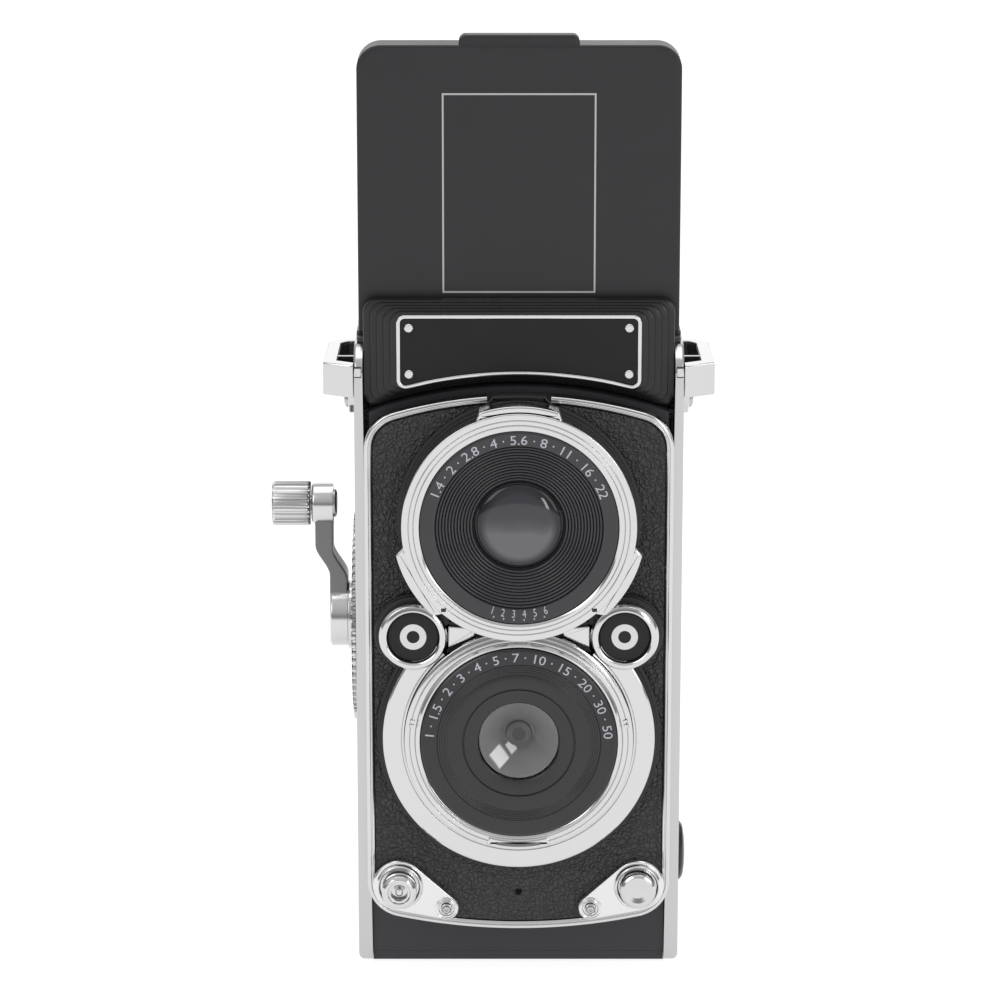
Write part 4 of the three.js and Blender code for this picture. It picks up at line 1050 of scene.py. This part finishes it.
# painted shade: the bar takes the dark copy of the steel, the bosses the bright one
piece("crank_arm_bar", [skin(armRows)], paintedShadeSteel, "crank", [])
piece("crank_arm_bosses", [
    plainTurn([(0, 0), (2.75, 0, 0), (2.75, thick + 0.4, 0.35), (0, thick + 0.4)], crank["y"], eyeZ,
              armInner - stepOut, "left", 96),
    plainTurn([(0, 0), (4.2, 0), (4.2, thick - 0.1, 0.3), (2.4, thick, 0.2), (2.2, thick - 0.25),
               (0, thick - 0.25)],
              crank["y"], crank["z"], armInner, "left", 96),
], armSteel, "crank", ["crank_arm"])
gripLong = gripHigh[0] - gripLow[0]
piece("crank_grip_ribbed",
      [skin(slab(gear(crank["y"], eyeZ, crank["grip"], crank["ribs"], crank["ribDeep"], 10),
                                      [(0.2, 0), (0.1, 0.1), (0, 0.4), (0, gripLong - 0.45),
                                       (0.1, gripLong - 0.16), (0.2, gripLong - 0.08)], gripHigh[0], "left")),
                            plainTurn([(0, 0.1), (2.7, 0.1), (2.7, gripLong - 0.02, 0.12),
                                       (2.1, gripLong, 0.06),
                                       (2.0, gripLong - 0.2, 0.06), (0, gripLong - 0.2)], crank["y"], eyeZ,
                                      gripHigh[0], "left", 96)], gripSteel, "grip", ["crank_grip"])
screw = {"head": 1.9, "tall": 0.62, "shank": 1.05, "long": 6.0}
screwInner = box("crank_screw")[1][0]
piece("crank_screw_head", [
    plainTurn([(0, 0), (screw["head"], 0, 0), (screw["head"], 0.45, 0.15), (1.5, screw["tall"], 0.1),
               (0, screw["tall"])], crank["y"], eyeZ, screwInner - screw["tall"], "right", 64),
    plainTurn([(0, 0), (screw["shank"], 0), (screw["shank"], screw["long"]), (0, screw["long"])], crank["y"],
              eyeZ,
              screwInner - 0.4, "left", 32),
], steel, "crank", ["crank_screw"])
print("crank made")

# power button and rear key
power = {"radius": 4.0, "shoulder": 3.5, "flat": 2.0}
powerLow, powerHigh = box("power_button")
middle = (powerLow + powerHigh) / 2
powerRise = powerHigh[0] - powerLow[0]
powerProfile = [(0, 0), (power["radius"], 0), (power["radius"], powerRise - 0.7, 0.3),
                (power["shoulder"], powerRise - 0.3, 0.6), (power["flat"], powerRise - 0.05, 1.0),
                (0, powerRise)]
piece("power_button_dome", [plainTurn(powerProfile, middle[1], middle[2], powerLow[0], "right", 96)],
      blockBlack,
      "power", ["power_button"])
key = {"radius": 2.6, "shoulder": 2.2, "dish": 1.2}
keyLow, keyHigh = box("rear_key")
middle = (keyLow + keyHigh) / 2
keyProfile = [(0, 0), (key["radius"], 0), (key["radius"], 0.9, 0.15), (key["shoulder"], 1.2, 0.2),
              (key["dish"], 1.15, 0.5), (0, 1.05)]
piece("rear_key_cap", [plainTurn(keyProfile, middle[0], middle[2], keyLow[1], "back", 96)], gloss, "key",
      ["rear_key"])
print("buttons made")

# top deck: a plate over the shell, a raised border round the screen and the hinge ears
deck = {"wide": 20.9, "narrow": 19.2, "edge": 0.54, "top": 84.1, "back": 3.2, "border": 3.0, "rise": 2.4,
        "sink": 1.3,
        "ear": 1.8, "earWide": 1.5}
deckLow, deckHigh = box("top_deck")
screenLow, screenHigh = box("screen_glass")
hingeLow, hingeHigh = box("hinge_pin_left")
hingeY, hingeZ = (hingeLow + hingeHigh)[1] / 2, (hingeLow + hingeHigh)[2] / 2
widePlate = roundRect(-deck["wide"], deck["wide"], deckLow[1], deckHigh[1] - deck["back"], 0.8, 5)
narrowPlate = roundRect(-deck["narrow"], deck["narrow"], deckLow[1], deckHigh[1], 0.5, 5)
screenLoop = roundRect(screenLow[0] - deck["border"], screenHigh[0] + deck["border"],
                       screenLow[1] - deck["border"],
                       screenHigh[1] + deck["border"], 2.2)
screenSection = [(0, 0), (0, deck["rise"], 0.35), (deck["border"] - 0.05, deck["rise"], 0.25),
                 (deck["border"] - 0.05, 0)]
deckDeep = deck["top"] - deckLow[2] - 0.05
deckShells = [
    skin(slab(widePlate, [(0, 0), (0, deck["edge"], 0.15), (0.3, deck["edge"])], deck["top"] - deck["edge"],
              "up")),
    skin(slab(narrowPlate, [(0, 0), (0, deckDeep, 0.2), (0.3, deckDeep)], deckLow[2], "up")),
    skin(ringSlab(screenLoop, screenSection, deck["top"], "up"), True),
    skin(slab(shrink(screenLoop, 0.4), [(0, 0), (0, deck["rise"] - deck["sink"])], deck["top"], "up")),
]
for sign in (-1, 1):
    earStart = sign * abs(hingeHigh[0])
    outward = "left" if sign < 0 else "right"
    deckShells.append(plainTurn([(0, 0), (deck["ear"], 0, 0.15), (deck["ear"], deck["earWide"], 0.15),
                                 (0, deck["earWide"])], hingeY, hingeZ, earStart, outward, 64))
    pad = roundRect(min(earStart, earStart + sign * deck["earWide"]),
                    max(earStart, earStart + sign * deck["earWide"]),
                    hingeY - deck["ear"], hingeY + deck["ear"], 0.15, 3)
    deckShells.append(skin(slab(pad, [(0, 0), (0, hingeZ - deck["top"])], deck["top"], "up")))
piece("top_deck_plate", deckShells, moulded, "body", ["top_deck"])

# pieces whose solids are right as they are


def refinish(finish, *nodes):
    # gives carried-over solids a finish
    for node in nodes:
        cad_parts[node].data.materials.clear()
        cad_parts[node].data.materials.append(finish)


def boardGreen(name):
    # solder mask with copper tracks under it
    finish = Finish(name)
    tracks = finish.noise(1.6, 1.0).math("MULTIPLY", 9.0).math("FRACT").below(0.35, 0.1)
    colour = finish.mix(tracks, (0.01, 0.07, 0.03, 1), (0.03, 0.13, 0.06, 1))
    return finish.surface({"Base Color": colour, "Roughness": 0.35 + tracks * 0.1})


refinish(leather, "side_panel_left", "side_panel_right", "rear_panel", "board_leather")
refinish(moulded, "front_shell", "rear_cover", "base_plate")
refinish(rubber, "port_door")
refinish(steel, "hinge_pin_left", "hinge_pin_right", "crank_shaft", "battery_cell")
refinish(softChrome, "tripod_bush")
refinish(boardGreen("circuit_green"), "main_board", "sensor_board")
refinish(glossBlack("screen_black", 0.008, 0.06), "screen_glass")

# camera, floor and lights
scene = bpy.context.scene
view = {"distance": 518.0, "tilt": 15.0, "targetZ": 64.6, "shiftX": -2.43, "lens": 145.6}
eye = bpy.data.cameras.new("camera")
eye.lens = view["lens"]
eye.sensor_width = 36
eye.clip_start = 0.01
eye.clip_end = 50
cameraObject = bpy.data.objects.new("camera", eye)
tilt = math.radians(view["tilt"])
cameraObject.location = (view["shiftX"] * mm, (boardFace - view["distance"] * math.cos(tilt)) * mm,
                         (view["targetZ"] + view["distance"] * math.sin(tilt)) * mm)
cameraObject.rotation_euler = (math.pi / 2 - tilt, 0, 0)
scene.collection.objects.link(cameraObject)
scene.camera = cameraObject


def floorFinish():
    finish = Finish("pale_floor")
    cloud = finish.noise(300.0)
    return finish.surface({"Base Color": finish.mix(cloud, grey(0.32), grey(0.36)), "Roughness": 0.8,
                           "Specular IOR Level": 0.0, "Emission Color": grey(1.0), "Emission Strength": 0.84})


ground = {"half": 8, "z": -0.0002}
floorMesh = bpy.data.meshes.new("floor")
floorMesh.from_pydata([(a * ground["half"], b * ground["half"], ground["z"]) for a, b in
                       ((-1, -1), (1, -1), (1, 1), (-1, 1))], [], [(0, 1, 2, 3)])
floorMesh.materials.append(floorFinish())
floor = bpy.data.objects.new("floor", floorMesh)
scene.collection.objects.link(floor)


def softbox(name, place, aim, size, power):
    # a rectangular light at a place, turned to its aim
    light = bpy.data.lights.new(name, "AREA")
    light.shape = "RECTANGLE"
    light.size, light.size_y = size
    light.energy = power
    lamp = bpy.data.objects.new(name, light)
    lamp.location = place
    direction = np.array(aim) - np.array(place)
    flat = math.hypot(direction[0], direction[1])
    lamp.rotation_euler = (math.atan2(flat, -direction[2]), 0, math.atan2(-direction[0], direction[1]))
    scene.collection.objects.link(lamp)


middle = (0, 0, 0.06)
softbox("key_left", (-0.75, -0.75, 0.75), middle, (0.6, 0.8), 3.0)
softbox("fill_right", (0.85, -0.6, 0.5), middle, (0.5, 0.8), 2.0)
softbox("window", (0.5, -1.15, 0.2), middle, (0.1, 0.3), 0.9)
softbox("top", (0, 0.1, 1.0), middle, (0.9, 0.7), 2.5)
softbox("back", (0, 1.3, 0.42), middle, (1.6, 0.6), 3.0)

world = bpy.data.worlds.new("studio")
scene.world = world
world.use_nodes = True
sky = world.node_tree
sky.nodes.clear()
coords = sky.nodes.new("ShaderNodeTexCoord")
split = sky.nodes.new("ShaderNodeSeparateXYZ")
ramp = sky.nodes.new("ShaderNodeValToRGB")
shade = sky.nodes.new("ShaderNodeBackground")
plain = sky.nodes.new("ShaderNodeBackground")
rays = sky.nodes.new("ShaderNodeLightPath")
blend = sky.nodes.new("ShaderNodeMixShader")
out = sky.nodes.new("ShaderNodeOutputWorld")
span = sky.nodes.new("ShaderNodeMapRange")
span.inputs[1].default_value = -1.0
sky.links.new(coords.outputs["Generated"], split.inputs[0])
sky.links.new(split.outputs[2], span.inputs[0])
sky.links.new(span.outputs[0], ramp.inputs[0])
for k, (position, value) in enumerate([(0.0, 0.6), (0.48, 0.3), (0.58, 0.26), (0.68, 0.55), (1.0, 0.8)]):
    stops = ramp.color_ramp.elements
    stop = stops[k] if k < len(stops) else stops.new(position)
    stop.position = position
    stop.color = (value, value, value, 1)
sky.links.new(ramp.outputs[0], shade.inputs[0])
plain.inputs[0].default_value = (1, 1, 1, 1)
sky.links.new(rays.outputs["Is Camera Ray"], blend.inputs[0])
sky.links.new(shade.outputs[0], blend.inputs[1])
sky.links.new(plain.outputs[0], blend.inputs[2])
sky.links.new(blend.outputs[0], out.inputs[0])
scene.view_settings.view_transform = "Standard"

print("scene ready")
